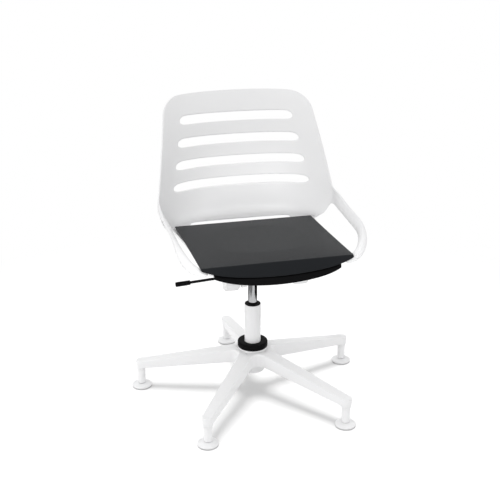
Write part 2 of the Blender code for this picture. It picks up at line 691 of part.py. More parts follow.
def make_lever(lift, lever_body):
    data = bpy.data.curves.new("lever_rod", "CURVE")
    data.dimensions = "3D"
    data.bevel_depth = LEVER_RADIUS
    data.bevel_resolution = 2
    data.use_fill_caps = True
    spline = data.splines.new("POLY")
    path = lever_path()
    spline.points.add(len(path) - 1)
    for point, place in zip(spline.points, path):
        point.co = (*place, 1.0)
    rod = baked(add_object("lever_rod", data))
    side = Vector((0, LEVER_PIN_LENGTH, 0))
    hole = join_cylinders("lever_hole", [(LEVER_PIVOT - side, LEVER_PIVOT + side, LEVER_PIN_RADIUS + PLAY)])
    combine(rod, as_cutter(hole), "DIFFERENCE")
    keep(rod, lever_body, BLACK_PLASTIC)

    bore = LEVER_RADIUS + FIT
    depth = GRIP_SEAT + FIT
    edge = GRIP_RADIUS - GRIP_EDGE
    grip = turned("lever_grip", [
        (0, GRIP_LENGTH), (edge, GRIP_LENGTH), (GRIP_RADIUS, GRIP_LENGTH - GRIP_EDGE),
        (GRIP_RADIUS, GRIP_EDGE), (edge, 0), (bore, 0), (bore, depth), (0, depth)], SMALL_ROUND)
    outward = (LEVER_END - LEVER_PIVOT).normalized()
    turn = outward.to_track_quat("Z", "Y").to_matrix().to_4x4()
    grip.matrix_basis = Matrix.Translation(LEVER_END - outward * GRIP_LENGTH) @ turn
    keep(grip, lever_body, BLACK_PLASTIC)

    half = Vector((0, LEVER_PIN_LENGTH / 2, 0))
    pin = join_cylinders("lever_pin", [(LEVER_PIVOT - half, LEVER_PIVOT + half, LEVER_PIN_RADIUS)], 10)
    keep(pin, lift, STEEL)


# Links and rails

def make_link(name, side, pivot, link_body, lift, seat):
    """Hanging link with its upper pin in the carrier and its lower pin in the rail."""
    upper = (pivot, PIVOT_HEIGHT)
    lower = (pivot, KNUCKLE_HEIGHT)
    outline = arc(upper, LINK_EYE, 0, math.pi, 8) + arc(lower, LINK_EYE, math.pi, 2 * math.pi, 8)
    bore = PIN_RADIUS + PLAY
    link = plate("link_" + name, [outline, circle(upper, bore), circle(lower, bore)], LINK_WIDTH)
    across_x(link, LINK_INSIDE + LINK_WIDTH / 2, mirrored=side < 0)
    keep(link, link_body, WHITE_MOULDING)

    head = PIN_RADIUS + PIN_HEAD
    inside = CARRIER_HALF - CHEEK
    outside = LINK_INSIDE + LINK_WIDTH + FIT
    length = outside - inside
    pin = turned("upper_pin_" + name, [
        (0, length + PIN_HEAD_LENGTH), (head, length + PIN_HEAD_LENGTH), (head, length),
        (PIN_RADIUS, length), (PIN_RADIUS, 0), (0, 0)], SMALL_ROUND)
    along_x(pin, (side * inside, pivot, PIVOT_HEIGHT), side)
    keep(pin, lift, STEEL)

    inside = CARRIER_HALF + FIT
    length = RAIL_INSIDE + RAIL_WIDTH - RAIL_PLATE - inside
    pin = turned("lower_pin_" + name, [
        (0, length), (PIN_RADIUS, length), (PIN_RADIUS, PIN_HEAD_LENGTH), (head, PIN_HEAD_LENGTH),
        (head, 0), (0, 0)], SMALL_ROUND)
    along_x(pin, (side * inside, pivot, KNUCKLE_HEIGHT), side)
    keep(pin, seat, STEEL)


def rail_screw_places():
    return [FRONT_PIVOT + RAIL_SCREW_INSET, REAR_PIVOT - RAIL_SCREW_INSET]


def leg_outline(pivot):
    """Side view of a rail's leg: its root in the plate, and a round knuckle at the pivot."""
    root = RAIL_TOP - RAIL_PLATE / 2
    meet = math.acos(RAIL_LEG / KNUCKLE_RADIUS)
    knuckle = arc((pivot, KNUCKLE_HEIGHT), KNUCKLE_RADIUS, math.pi - meet, 2 * math.pi + meet, 13)
    return [(pivot - RAIL_LEG, root)] + knuckle + [(pivot + RAIL_LEG, root)]


def make_rail(name, side, seat):
    """A plate under the seat with two legs, whose knuckles take the lower pins."""
    middle = RAIL_INSIDE + RAIL_WIDTH / 2
    wide = RAIL_WIDTH / 2 + RAIL_MARGIN
    rail = box("rail_" + name, (side * middle - wide, FRONT_PIVOT - RAIL_OVERHANG, RAIL_TOP - RAIL_PLATE),
               (side * middle + wide, REAR_PIVOT + RAIL_OVERHANG, RAIL_TOP))
    pivots = (FRONT_PIVOT, REAR_PIVOT)
    bores = [circle((pivot, KNUCKLE_HEIGHT), PIN_RADIUS + FIT) for pivot in pivots]
    legs = plate("rail_legs_" + name, [leg_outline(pivot) for pivot in pivots] + bores, RAIL_WIDTH,
                 KNUCKLE_EDGE)
    combine(rail, as_cutter(across_x(legs, middle, mirrored=side < 0)), "UNION")
    holes = [((side * middle, y, RAIL_TOP - 2 * RAIL_PLATE), (side * middle, y, RAIL_TOP + RAIL_PLATE),
              SCREW_RADIUS + FIT) for y in rail_screw_places()]
    combine(rail, as_cutter(join_cylinders("rail_holes_" + name, holes, 10)), "DIFFERENCE")
    keep(rail, seat, WHITE_MOULDING)


def make_screw(name, place, radius, length, seat):
    """Pan-head screw that points up from its head's seat."""
    head = radius + SCREW_HEAD
    screw = turned(name, [(0, length), (radius, length), (radius, 0), (head, 0),
                          (head, -SCREW_HEAD_LENGTH), (0, -SCREW_HEAD_LENGTH)], 10)
    screw.location = place
    keep(screw, seat, STEEL)


# Shell

def dish(x):
    return PLATE_DISH * (x / PLATE_HALF) ** 2


def back_sag(x):
    share = (x / BACK_HALF) ** 2
    return WING_REACH * share + WING_CURL * share ** 2


def back_face(height):
    """Face of the back on its middle line: forward to the lumbar, then backwards."""
    reach = BACK_TOP - LUMBAR_HEIGHT
    foot = BACK_SWEEP * ((BEND_TOP - LUMBAR_HEIGHT) / reach) ** 2
    return BACK_FOOT - foot + BACK_SWEEP * ((height - LUMBAR_HEIGHT) / reach) ** 2


def half_width(height):
    """Half-width of the shell: widest where the loops leave the back."""
    if height < LOOP_HEIGHT:
        share = (height - PLATE_TOP) / (LOOP_HEIGHT - PLATE_TOP)
        return blend(PLATE_HALF + PLATE_FLARE, BACK_HALF, share ** LIP_FULLNESS)
    share = (height - LOOP_HEIGHT) / (BACK_TOP - CORNER_RADIUS - LOOP_HEIGHT)
    return blend(BACK_HALF, BACK_TOP_HALF, share)


def front_retreat(x):
    """Rounding of the seat's front corners, in plan."""
    return RIM_RETREAT * (abs(x) / (TRAY_HALF - TRAY_NOTCH)) ** 6


def shell_point(across, along):
    """Face of the sheet: the plate, the bend, the back and the rounded top, a quarter each."""
    stretch = min(int(along * 4), 3)
    share = along * 4 - stretch
    if stretch == 0:
        flare = PLATE_FLARE * ease(2 * share - 1)
        x = across * (blend(PLATE_HALF - PLATE_TAPER, PLATE_HALF, share) + flare)
        y = blend(SHELL_FRONT + front_retreat(x), BEND_START, share)
        return Vector((x, y, PLATE_TOP + dish(x)))
    if stretch == 1:
        angle = share * math.pi / 2
        height = PLATE_TOP + BEND_RADIUS * (1 - math.cos(angle))
        x = across * half_width(height)
        lift = ease(share) ** WING_START
        y = BEND_START + BEND_RADIUS * math.sin(angle) - lift * back_sag(x)
        return Vector((x, y, height + (1 - lift) * dish(x)))
    corner = BACK_TOP - CORNER_RADIUS
    if stretch == 2:
        height = blend(BEND_TOP, corner, share)
        x = across * half_width(height)
        return Vector((x, back_face(height) - back_sag(x), height))
    angle = share * math.pi / 2
    rise = math.sin(angle)
    height = corner + CORNER_RADIUS * rise + TOP_RISE * rise * (1 - across * across)
    x = across * (BACK_TOP_HALF - CORNER_RADIUS * (1 - math.cos(angle)))
    return Vector((x, back_face(height) - back_sag(x), height))


def slot_outline(height, half):
    """A long slot whose ends are half-ellipses."""
    stretch = SLOT_END / (SLOT_HEIGHT / 2)
    right = arc((0, 0), SLOT_HEIGHT / 2, -math.pi / 2, math.pi / 2, 9)
    ends = [(half - SLOT_END + stretch * x, height + z) for x, z in right]
    return ends + [(-x, z) for x, z in reversed(ends)]


def loop_path():
    """Middle line of the left loop: out of the wing, forward, then down under the corner."""
    root_half = BACK_HALF - LOOP_WIDTH / 2
    root = Vector((root_half, back_face(LOOP_HEIGHT) - back_sag(root_half) + SHELL_WALL / 2,
                   LOOP_HEIGHT - SHELL_WALL / 2))
    bend = Vector((LOOP_HALF, LOOP_BEND, LOOP_HEIGHT - LOOP_DROP))
    end_half = PLATE_HALF - LOOP_END_INSET
    end = Vector((end_half, SHELL_FRONT + LOOP_END_BACK,
                  PLATE_TOP + dish(end_half) - SHELL_WALL / 2 + LOOP_END_RISE))
    run = (root - bend).length / 3
    drop = (end - bend).length * 0.41
    outward = Vector((0.35, -1.0, -0.05)).normalized()
    forward = (bend - root).normalized()
    inward = Vector((-1.0, 0.05, -0.12)).normalized()
    straight = interpolate_bezier(root, root + outward * run, bend - forward * run, bend, LOOP_STEPS)
    turn = interpolate_bezier(bend, bend + forward * drop, end - inward * drop, end, LOOP_STEPS)
    return straight + turn[1:]


def make_loop(side):
    """One side loop: tall and thin at its root, slimmer along the seat, small at its end."""
    path = loop_path()
    rings = []
    for i, place in enumerate(path):
        heading = (path[min(i + 1, len(path) - 1)] - path[max(i - 1, 0)]).normalized()
        across = heading.cross(Vector((0, 0, 1))).normalized()
        upward = across.cross(heading)
        root = 1 - ease((place - path[0]).length / LOOP_ROOT_LENGTH)
        tip = max(0, i + 1 - LOOP_STEPS) / (LOOP_STEPS - 1)
        width = blend(blend(LOOP_WIDTH, SHELL_WALL, root), LOOP_END_WIDTH, tip) / 2
        depth = blend(blend(LOOP_DEPTH, LOOP_ROOT_DEPTH, root), LOOP_END_DEPTH, tip ** 2) / 2
        ring = [place + across * x * width + upward * z * depth for x, z in circle((0, 0), 1.0)]
        rings.append([Vector((side * point.x, point.y, point.z)) for point in ring])
    return tube("loop_solid_" + ("left" if side > 0 else "right"), rings)


def make_shell(seat):
    shell = sheet("shell", 20, 24, shell_point, SHELL_WALL)
    for side in (1, -1):
        combine(shell, as_cutter(make_loop(side)), "UNION")
    middle = RAIL_INSIDE + RAIL_WIDTH / 2
    low = PLATE_BOTTOM - BOSS_HEIGHT
    places = [(side * middle, y) for side in (1, -1) for y in rail_screw_places()]
    bosses = [((x, y, low), (x, y, PLATE_TOP + dish(middle) - SHELL_WALL / 2), BOSS_RADIUS) for x, y in places]
    combine(shell, as_cutter(join_cylinders("boss_solids", bosses)), "UNION")

    outlines = [slot_outline(SLOT_FIRST + i * SLOT_PITCH, SLOT_HALF - i * SLOT_STEP) for i in range(SLOT_COUNT)]
    slots = plate("slots", outlines, 2 * PLATE_HALF)
    slots.matrix_basis = Matrix.Translation((0, PLATE_HALF, 0)) @ Matrix.Rotation(math.pi / 2, 4, "X")
    combine(shell, as_cutter(slots), "DIFFERENCE")

    depth = BEND_RADIUS + GAP_CORNER
    low = GAP_TOP - depth
    corners = [(GAP_HALF - GAP_CORNER, GAP_TOP - GAP_CORNER, 0), (GAP_CORNER - GAP_HALF, GAP_TOP - GAP_CORNER, 1)]
    outline = [(-GAP_HALF, low), (GAP_HALF, low)]
    for x, z, quarter in corners:
        start = quarter * math.pi / 2
        outline += arc((x, z), GAP_CORNER, start, start + math.pi / 2, 5)
    gap = plate("rear_gap", [outline], 2 * BEND_RADIUS)
    gap.matrix_basis = Matrix.Translation((0, PLATE_REAR + BEND_RADIUS, 0)) @ Matrix.Rotation(math.pi / 2, 4, "X")
    combine(shell, as_cutter(gap), "DIFFERENCE")

    holes = [((x, y, low), (x, y, PLATE_BOTTOM - BOSS_HEIGHT + SCREW_GRIP + FIT), SCREW_RADIUS + FIT)
             for x, y in places]
    holes += [((0, y, low), (0, y, PLATE_TOP + SHELL_WALL), PAD_SCREW_RADIUS + FIT) for y in PAD_SCREWS]
    combine(shell, as_cutter(join_cylinders("shell_holes", holes, 10)), "DIFFERENCE")
    keep(shell, seat, WHITE_MOULDING)


# Pad and tray

def tray_half(y):
    """The tray is narrower at the front, where the loops' ends lie beside it."""
    share = (y - RIM_FRONT) / TRAY_NOTCH_LENGTH
    return TRAY_HALF - TRAY_NOTCH * (1 - ease(2 * share - 1))


def tray_point(across, along):
    """Upper face of the tray, from the rim's lower edge over its bend and back to the rear."""
    bend_start = RIM_FRONT + RIM_BEND
    if along > 0.5:
        y = blend(bend_start, TRAY_REAR, along * 2 - 1)
        x = across * tray_half(y)
        ahead = max(0.0, 1 - (y - bend_start) / TRAY_NOTCH_LENGTH)
        return Vector((x, y + ahead * front_retreat(x), TRAY_TOP + dish(x)))
    x = across * (TRAY_HALF - TRAY_NOTCH)
    drop = RIM_DROP - RIM_THIN * across * across
    share = along * 2
    if share > 0.5:
        angle = (share * 2 - 1) * math.pi / 2
        y = bend_start - RIM_BEND * math.cos(angle)
        z = RIM_BEND * (math.sin(angle) - 1)
    else:
        y = RIM_FRONT
        z = blend(-drop, -RIM_BEND, share * 2)
    return Vector((x, y + front_retreat(x), TRAY_TOP + dish(x) + z))


def make_tray(seat):
    tray = sheet("pad_base", 12, 16, tray_point, TRAY_WALL)
    holes = [((0, y, PLATE_BOTTOM), (0, y, PLATE_TOP + FIT + PAD_SCREW_GRIP + FIT), PAD_SCREW_RADIUS + FIT)
             for y in PAD_SCREWS]
    combine(tray, as_cutter(join_cylinders("tray_holes", holes, 10)), "DIFFERENCE")
    keep(tray, seat, BLACK_PLASTIC)


def pad_point(across, along, up):
    """Pad with a flat crowned top, a straight crease and a front that falls to the rim."""
    x = across * (PAD_HALF - PAD_DRAW * (1 - along * along))
    back = (along + 1) / 2
    high = (up + 1) / 2
    corner = across ** 6
    front = blend(RIM_FRONT + PAD_NOSE + PAD_CORNER * corner, PAD_CREASE, high)
    crown = PAD_CROWN * (1 - across * across) * (1 - along * along)
    top = PLATE_TOP + blend(PAD_CREASE_RISE, PAD_REAR_RISE, back) + crown
    low = PAD_BOTTOM + dish(x) + PAD_CORNER_RISE * corner * (1 - back)
    return Vector((x, blend(front, PAD_REAR, back), blend(low, top, high)))


def make_pad(seat):
    bm = bmesh.new()
    bmesh.ops.create_cube(bm, size=2.0)
    for axis, cuts in ((0, 17), (1, 13), (2, 1)):
        edges = [e for e in bm.edges if abs((e.verts[0].co - e.verts[1].co)[axis]) > 1]
        bmesh.ops.subdivide_edges(bm, edges=edges, cuts=cuts)
    for vert in bm.verts:
        vert.co = pad_point(*vert.co)
    pad = add_mesh("seat_pad", bm)
    pad.data.shade_smooth()
    pad.data.set_sharp_from_angle(angle=SMOOTH_ANGLE)
    keep(pad, seat, BLACK_FABRIC)


# Assembly

def make_chair():
    base = new_empty("base", (0, 0, 0), ROOT)
    swivel = new_empty("swivel", (0, 0, TUBE_BOTTOM), ROOT)
    lift = new_empty("lift", (0, 0, SOCKET_BOTTOM), ROOT)
    button = new_empty("button", (0, 0, CYLINDER_TOP), ROOT)
    lever = new_empty("lever", LEVER_PIVOT, ROOT)
    ends = {"front": FRONT_PIVOT, "rear": REAR_PIVOT}
    sides = {"left": 1, "right": -1}
    first = LINK_INSIDE + LINK_WIDTH / 2
    seat = new_empty("seat", (first, FRONT_PIVOT, KNUCKLE_HEIGHT), ROOT)

    make_base(base)
    for index in range(ARM_COUNT):
        foot = new_empty("foot_" + str(index + 1), foot_place(index, BALL_HEIGHT), ROOT)
        make_glide(index, base, foot)
    make_column(base, swivel)
    make_cylinder(lift, button)
    make_carrier(lift)
    make_lever(lift, lever)
    for end, pivot in ends.items():
        for name, side in sides.items():
            link = new_empty("swing_" + end + "_" + name, (side * first, pivot, PIVOT_HEIGHT), ROOT)
            make_link(end + "_" + name, side, pivot, link, lift, seat)
    screw_seat = RAIL_TOP - RAIL_PLATE - FIT
    length = RAIL_PLATE + 2 * FIT + SCREW_GRIP
    number = 0
    for name, side in sides.items():
        make_rail(name, side, seat)
        for y in rail_screw_places():
            number += 1
            place = (side * (RAIL_INSIDE + RAIL_WIDTH / 2), y, screw_seat)
            make_screw("rail_screw_" + str(number), place, SCREW_RADIUS, length, seat)
    make_shell(seat)
    make_tray(seat)
    make_pad(seat)
    for name, y in zip(("front", "rear"), PAD_SCREWS):
        place = (0, y, PLATE_BOTTOM - FIT)
        make_screw("pad_screw_" + name, place, PAD_SCREW_RADIUS, SHELL_WALL + 2 * FIT + PAD_SCREW_GRIP, seat)


clear_scene()
PARTS = new_collection("task_chair")
CUTTERS = new_collection("cutters")
ROOT = new_empty("chair", (0, CENTRE_SHIFT, 0))
make_chair()
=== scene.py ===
"""Visual model of a task chair: slotted one-piece shell, slim pad, gas lift and five-arm base on glides.

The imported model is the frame. Every piece is drawn in chair coordinates, in metres, with the
column's axis on Z, the floor at zero and the front towards -Y, and is then set on that axis.
"""

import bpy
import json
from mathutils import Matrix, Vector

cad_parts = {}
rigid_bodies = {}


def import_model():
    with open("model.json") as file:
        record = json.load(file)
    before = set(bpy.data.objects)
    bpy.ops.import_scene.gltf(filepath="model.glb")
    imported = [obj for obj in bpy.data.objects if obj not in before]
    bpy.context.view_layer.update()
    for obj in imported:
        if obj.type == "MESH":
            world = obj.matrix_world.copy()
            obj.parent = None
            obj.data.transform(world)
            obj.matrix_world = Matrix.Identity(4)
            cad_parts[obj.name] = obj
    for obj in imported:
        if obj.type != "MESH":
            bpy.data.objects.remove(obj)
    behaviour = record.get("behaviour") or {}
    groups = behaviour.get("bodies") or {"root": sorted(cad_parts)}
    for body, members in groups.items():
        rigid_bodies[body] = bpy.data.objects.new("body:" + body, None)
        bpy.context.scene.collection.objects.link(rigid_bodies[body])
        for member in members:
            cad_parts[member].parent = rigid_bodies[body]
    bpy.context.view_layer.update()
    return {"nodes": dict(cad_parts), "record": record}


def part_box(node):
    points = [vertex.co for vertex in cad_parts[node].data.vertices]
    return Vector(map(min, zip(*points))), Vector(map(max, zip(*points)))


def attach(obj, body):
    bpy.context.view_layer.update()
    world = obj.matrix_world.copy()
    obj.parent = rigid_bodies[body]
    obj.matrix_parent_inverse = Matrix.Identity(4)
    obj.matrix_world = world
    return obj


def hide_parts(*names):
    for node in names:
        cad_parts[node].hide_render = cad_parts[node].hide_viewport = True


bl_info = {
    "name": "Task chair",
    "version": (1, 0, 0),
    "blender": (4, 5, 0),
    "location": "3D View > Sidebar > Chair",
    "description": "Builds the visual model of a task chair over its packed frame",
    "category": "Object",
}

import json
import math

import bmesh
import bpy
from bpy.props import FloatProperty, FloatVectorProperty, PointerProperty
from mathutils import Matrix, Vector
from mathutils.geometry import interpolate_bezier

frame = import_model()

AXIS = (Vector(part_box("column_tube")[0]) + Vector(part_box("column_tube")[1])) / 2
AXIS.z = 0.0
SLOTS = {part["node"]: part["material_slot"] for part in frame["record"]["subparts"]}
FIT = 0.0003                # gap between pieces that rest on each other
MERGE = 0.00001             # vertices closer than this are one
ARM_COUNT = 5
SLOT_COUNT = 4
SCREW_COUNT = 4             # screws that hold the rails to the shell
CORNER_POWER = 6            # power of the curve that rounds the front corners of plate, tray and pad


# Sizes and colours

def length(name, default, description):
    return FloatProperty(name=name, description=description, default=default, unit="LENGTH", precision=4)


def ratio(name, default, description):
    return FloatProperty(name=name, description=description, default=default, subtype="FACTOR",
                         min=0.0, max=1.0)


def tilt(name, degrees, description):
    return FloatProperty(name=name, description=description, default=math.radians(degrees), subtype="ANGLE")


def colour(name, default, description):
    return FloatVectorProperty(name=name, description=description, default=default, subtype="COLOR",
                               size=3, min=0.0, max=1.0)


def blend(low, high, share):
    return low + (high - low) * share


def ease(share):
    """Zero to one, level at both ends."""
    share = min(max(share, 0.0), 1.0)
    return share * share * (3 - 2 * share)


class ShellSizes(bpy.types.PropertyGroup):
    """Sizes of the moulded shell, and the places on its face that follow from them."""
    wall: length("Wall", 0.006, "Thickness of the moulded sheet")
    plate_top: length("Plate height", 0.4955, "Height of the seat plate in its middle")
    plate_dish: length("Plate dish", 0.0229, "Rise of the seat plate at its sides")
    plate_half: length("Plate half-width", 0.210, "Half the width of the seat plate")
    plate_taper: length("Plate taper", 0.010, "Loss of half-width at the front")
    plate_flare: length("Plate flare", 0.018, "Gain of half-width at the bend")
    plate_front: length("Plate front", -0.2867, "Front edge of the seat plate")
    plate_rear: length("Plate rear", 0.108, "Where the gap behind the seat starts")
    corner_retreat: length("Corner retreat", 0.020, "Rounding of the front corners in plan")
    corner_half: length("Corner half-width", 0.182, "Where that rounding is measured")
    bend_radius: length("Bend radius", 0.060, "Radius between the seat plate and the back")
    back_foot: length("Back foot", 0.1748, "Face of the back above the bend, on the middle line")
    back_half: length("Back half-width", 0.2725, "Half the width of the back at the loops")
    back_top_half: length("Top half-width", 0.2320, "Half the width where the top corners start")
    back_sweep: length("Back sweep", 0.0764, "How far the top leans behind the lumbar")
    wing_reach: length("Wing reach", 0.0345, "Forward curve of the back at its widest place")
    wing_curl: length("Wing curl", 0.0855, "The part of that curve that grows near the edge")
    wing_start: ratio("Wing start", 0.6, "How early that curve starts in the bend")
    lip_fullness: ratio("Lip fullness", 0.62, "How early the shell widens below the loops")
    lumbar_drop: length("Lumbar drop", 0.009, "Lumbar below the loops")
    loop_rise: length("Loop rise", 0.1095, "Height of the loops above the seat plate")
    corner_radius: length("Corner radius", 0.057, "Radius of the top corners")
    top_band: length("Top band", 0.0722, "Back above its last slot")
    top_rise: length("Top rise", 0.003, "Crown of the top edge")
    slot_rise: length("Slot rise", 0.0349, "Lowest slot above the loops")
    slot_pitch: length("Slot pitch", 0.0643, "Distance from slot to slot")
    slot_half: length("Slot half-length", 0.2131, "Half the length of the lowest slot")
    slot_step: length("Slot step", 0.0124, "Loss of half-length from slot to slot")
    slot_height: length("Slot height", 0.025, "Height of a slot")
    gap_half: length("Gap half-width", 0.160, "Half the width of the gap behind the seat")
    gap_rise: length("Gap rise", 0.023, "Upper edge of that gap above the seat plate")
    loop_width: length("Loop thickness", 0.0135, "Thickness of a side loop's section")
    loop_depth: length("Loop breadth", 0.034, "Breadth of that section")
    loop_root_depth: length("Loop root breadth", 0.052, "Breadth of that section at the back")
    loop_root_length: length("Loop root length", 0.110, "How far forward it takes to slim down")
    loop_lean: tilt("Loop lean", 30.0, "How far the upper edge of a loop leans outwards")
    loop_inset: length("Loop inset", 0.0058, "Middle of a loop inside the back's widest place")
    loop_bend: length("Loop bend", -0.165, "Where a loop turns down")
    loop_drop: length("Loop drop", 0.020, "Fall of a loop from the back to there")
    loop_end_inset: length("Loop end inset", 0.016, "End of a loop inside the plate's edge")
    loop_end_back: length("Loop end back", 0.022, "End of a loop behind the plate's front")
    loop_end_rise: length("Loop end rise", 0.002, "End of a loop above the middle of the wall")
    loop_end_width: length("Loop end width", 0.027, "Width of a loop's flat end")
    loop_end_depth: length("Loop end height", 0.012, "Height of a loop's flat end")

    def bend_top(self):
        return self.plate_top + self.bend_radius

    def bend_start(self):
        return self.back_foot - self.bend_radius

    def loop_height(self):
        return self.plate_top + self.loop_rise

    def slot_place(self, index):
        return self.loop_height() + self.slot_rise + index * self.slot_pitch

    def back_top(self):
        return self.slot_place(SLOT_COUNT - 1) + self.top_band

    def corner(self):
        """Height where the top corners start."""
        return self.back_top() - self.corner_radius

    def dish(self, x):
        return self.plate_dish * (x / self.plate_half) ** 2

    def back_sag(self, x):
        share = (x / self.back_half) ** 2
        return self.wing_reach * share + self.wing_curl * share ** 2

    def back_face(self, height):
        """Face of the back on its middle line: forward to the lumbar, then backwards."""
        lumbar = self.loop_height() - self.lumbar_drop
        reach = self.back_top() - lumbar
        foot = self.back_sweep * ((self.bend_top() - lumbar) / reach) ** 2
        return self.back_foot - foot + self.back_sweep * ((height - lumbar) / reach) ** 2

    def half_width(self, height):
        """Half-width of the shell above the plate: widest where the loops leave the back."""
        widest = self.loop_height()
        if height < widest:
            share = (height - self.plate_top) / (widest - self.plate_top)
            return blend(self.plate_half + self.plate_flare, self.back_half, share ** self.lip_fullness)
        share = (height - widest) / (self.corner() - widest)
        return blend(self.back_half, self.back_top_half, share)

    def front_retreat(self, x):
        return self.corner_retreat * (abs(x) / self.corner_half) ** CORNER_POWER

    def half_at(self, along):
        """Half-width at a place along the sheet: plate, bend, back and top take one unit each."""
        stretch = min(int(along), 3)
        share = along - stretch
        if stretch == 0:
            flare = self.plate_flare * ease(2 * share - 1)
            return blend(self.plate_half - self.plate_taper, self.plate_half, share) + flare
        if stretch == 1:
            return self.half_width(self.plate_top + self.bend_radius * (1 - math.cos(share * math.pi / 2)))
        if stretch == 2:
            return self.half_width(blend(self.bend_top(), self.corner(), share))
        return self.back_top_half - self.corner_radius * (1 - math.cos(share * math.pi / 2))

    def along_height(self, height):
        """Place along the sheet of a height on the bend, the back or the top corners."""
        if height < self.bend_top():
            return 1 + math.acos(1 - (height - self.plate_top) / self.bend_radius) / (math.pi / 2)
        if height < self.corner():
            return 2 + (height - self.bend_top()) / (self.corner() - self.bend_top())
        return 3 + math.asin(min((height - self.corner()) / self.corner_radius, 1.0)) / (math.pi / 2)

    def along_plate(self, y):
        return (y - self.plate_front) / (self.bend_start() - self.plate_front)

    def place(self, x, along):
        """Point of the sheet's face."""
        stretch = min(int(along), 3)
        share = along - stretch
        angle = share * math.pi / 2
        if stretch == 0:
            y = blend(self.plate_front + self.front_retreat(x), self.bend_start(), share)
            return Vector((x, y, self.plate_top + self.dish(x)))
        if stretch == 1:
            height = self.plate_top + self.bend_radius * (1 - math.cos(angle))
            lift = ease(share) ** self.wing_start
            y = self.bend_start() + self.bend_radius * math.sin(angle) - lift * self.back_sag(x)
            return Vector((x, y, height + (1 - lift) * self.dish(x)))
        height = blend(self.bend_top(), self.corner(), share)
        if stretch == 3:
            rise = math.sin(angle)
            across = x / self.half_at(along)
            height = self.corner() + self.corner_radius * rise + self.top_rise * rise * (1 - across ** 2)
        return Vector((x, self.back_face(height) - self.back_sag(x), height))


class PadSizes(bpy.types.PropertyGroup):
    """Sizes of the pad and of the tray under it."""
    half: length("Half-width", 0.216, "Half the width of the pad")
    rear: length("Rear", 0.106, "Rear edge of the pad")
    rear_rise: length("Rear rise", 0.0325, "Top of the pad above the seat plate at its rear")
    crease: length("Crease", -0.276, "Where the top folds over to the front")
    crease_rise: length("Crease rise", 0.0405, "Height of that fold above the seat plate")
    nose: length("Nose", 0.003, "Front of the pad behind the rim's face")
    crown: length("Crown", 0.0025, "Rise of the pad's middle")
    draw: length("Draw", 0.0015, "How far the sides are drawn in between the corners")
    corner: length("Corner", 0.013, "Front further back at the corners")
    corner_rise: length("Corner rise", 0.006, "Underside higher at the front corners")
    shrink: length("Shrink", 0.0022, "How much smaller the pad is before it swells")
    swell: length("Swell", 0.005, "The most that a point moves when the pad swells")
    tray_wall: length("Tray wall", 0.0042, "Thickness of the tray")
    tray_half: length("Tray half-width", 0.205, "Half the width of the tray")
    tray_rear: length("Tray rear", 0.100, "Rear edge of the tray")
    tray_notch: length("Tray notch", 0.023, "Loss of half-width at the loops' ends")
    tray_notch_length: length("Tray notch length", 0.062, "Length of that narrowing")
    rim_front: length("Rim front", -0.299, "Front of the tray's rolled rim")
    rim_bend: length("Rim bend", 0.012, "Radius of the rim's bend")
    rim_drop: length("Rim drop", 0.022, "How far the rim hangs down")
    rim_thin: length("Rim thinning", 0.0076, "Loss of that drop at the corners")


class BaseSizes(bpy.types.PropertyGroup):
    """Sizes of the five-arm base and its glides."""
    foot_circle: length("Foot circle", 0.3533, "Radius on which the glides stand")
    arm_top_hub: length("Arm top at hub", 0.150, "Height of an arm's top where it leaves the hub")
    arm_top_tip: length("Arm top at tip", 0.0925, "Height of an arm's top at its tip")
    arm_depth_hub: length("Arm depth at hub", 0.046, "Depth of an arm at the hub")
    arm_depth_tip: length("Arm depth at tip", 0.0245, "Depth of an arm at its tip")
    arm_width_hub: length("Arm width at hub", 0.043, "Width of an arm at the hub")
    arm_width_tip: length("Arm width at tip", 0.034, "Width of an arm at its tip")
    web_radius: length("Web radius", 0.030, "Fillet between neighbouring arms")
    hub_radius: length("Hub radius", 0.045, "Radius of the hub")
    hub_top: length("Hub top", 0.1527, "Height of the hub's top face")
    hub_bottom: length("Hub bottom", 0.0727, "Height of the hub's underside")
    hub_cone: length("Hub cone", 0.024, "Height of the hub's coned foot")
    hub_foot_radius: length("Hub foot radius", 0.036, "Radius of the hub's underside")
    tip_seat: length("Tip seat", 0.0655, "Height of the flat seat under an arm's tip")
    stem_radius: length("Stem radius", 0.0125, "Radius of a glide's stem")
    stem_flare: length("Stem flare", 0.003, "Gain of radius under the arm")
    stem_flare_height: length("Stem flare height", 0.013, "Height of that flare")
    stem_bottom: length("Stem bottom", 0.0149, "Underside of the stem")
    foot_radius: length("Foot radius", 0.0307, "Radius of a glide's disc")
    foot_bottom: length("Foot bottom", 0.0033, "Underside of the disc")
    foot_rim: length("Foot rim", 0.0045, "Height of the disc's rim")
    foot_height: length("Foot height", 0.0097, "Height of the disc at the stem")
    sole_inset: length("Sole inset", 0.001, "Sole inside the disc's rim")


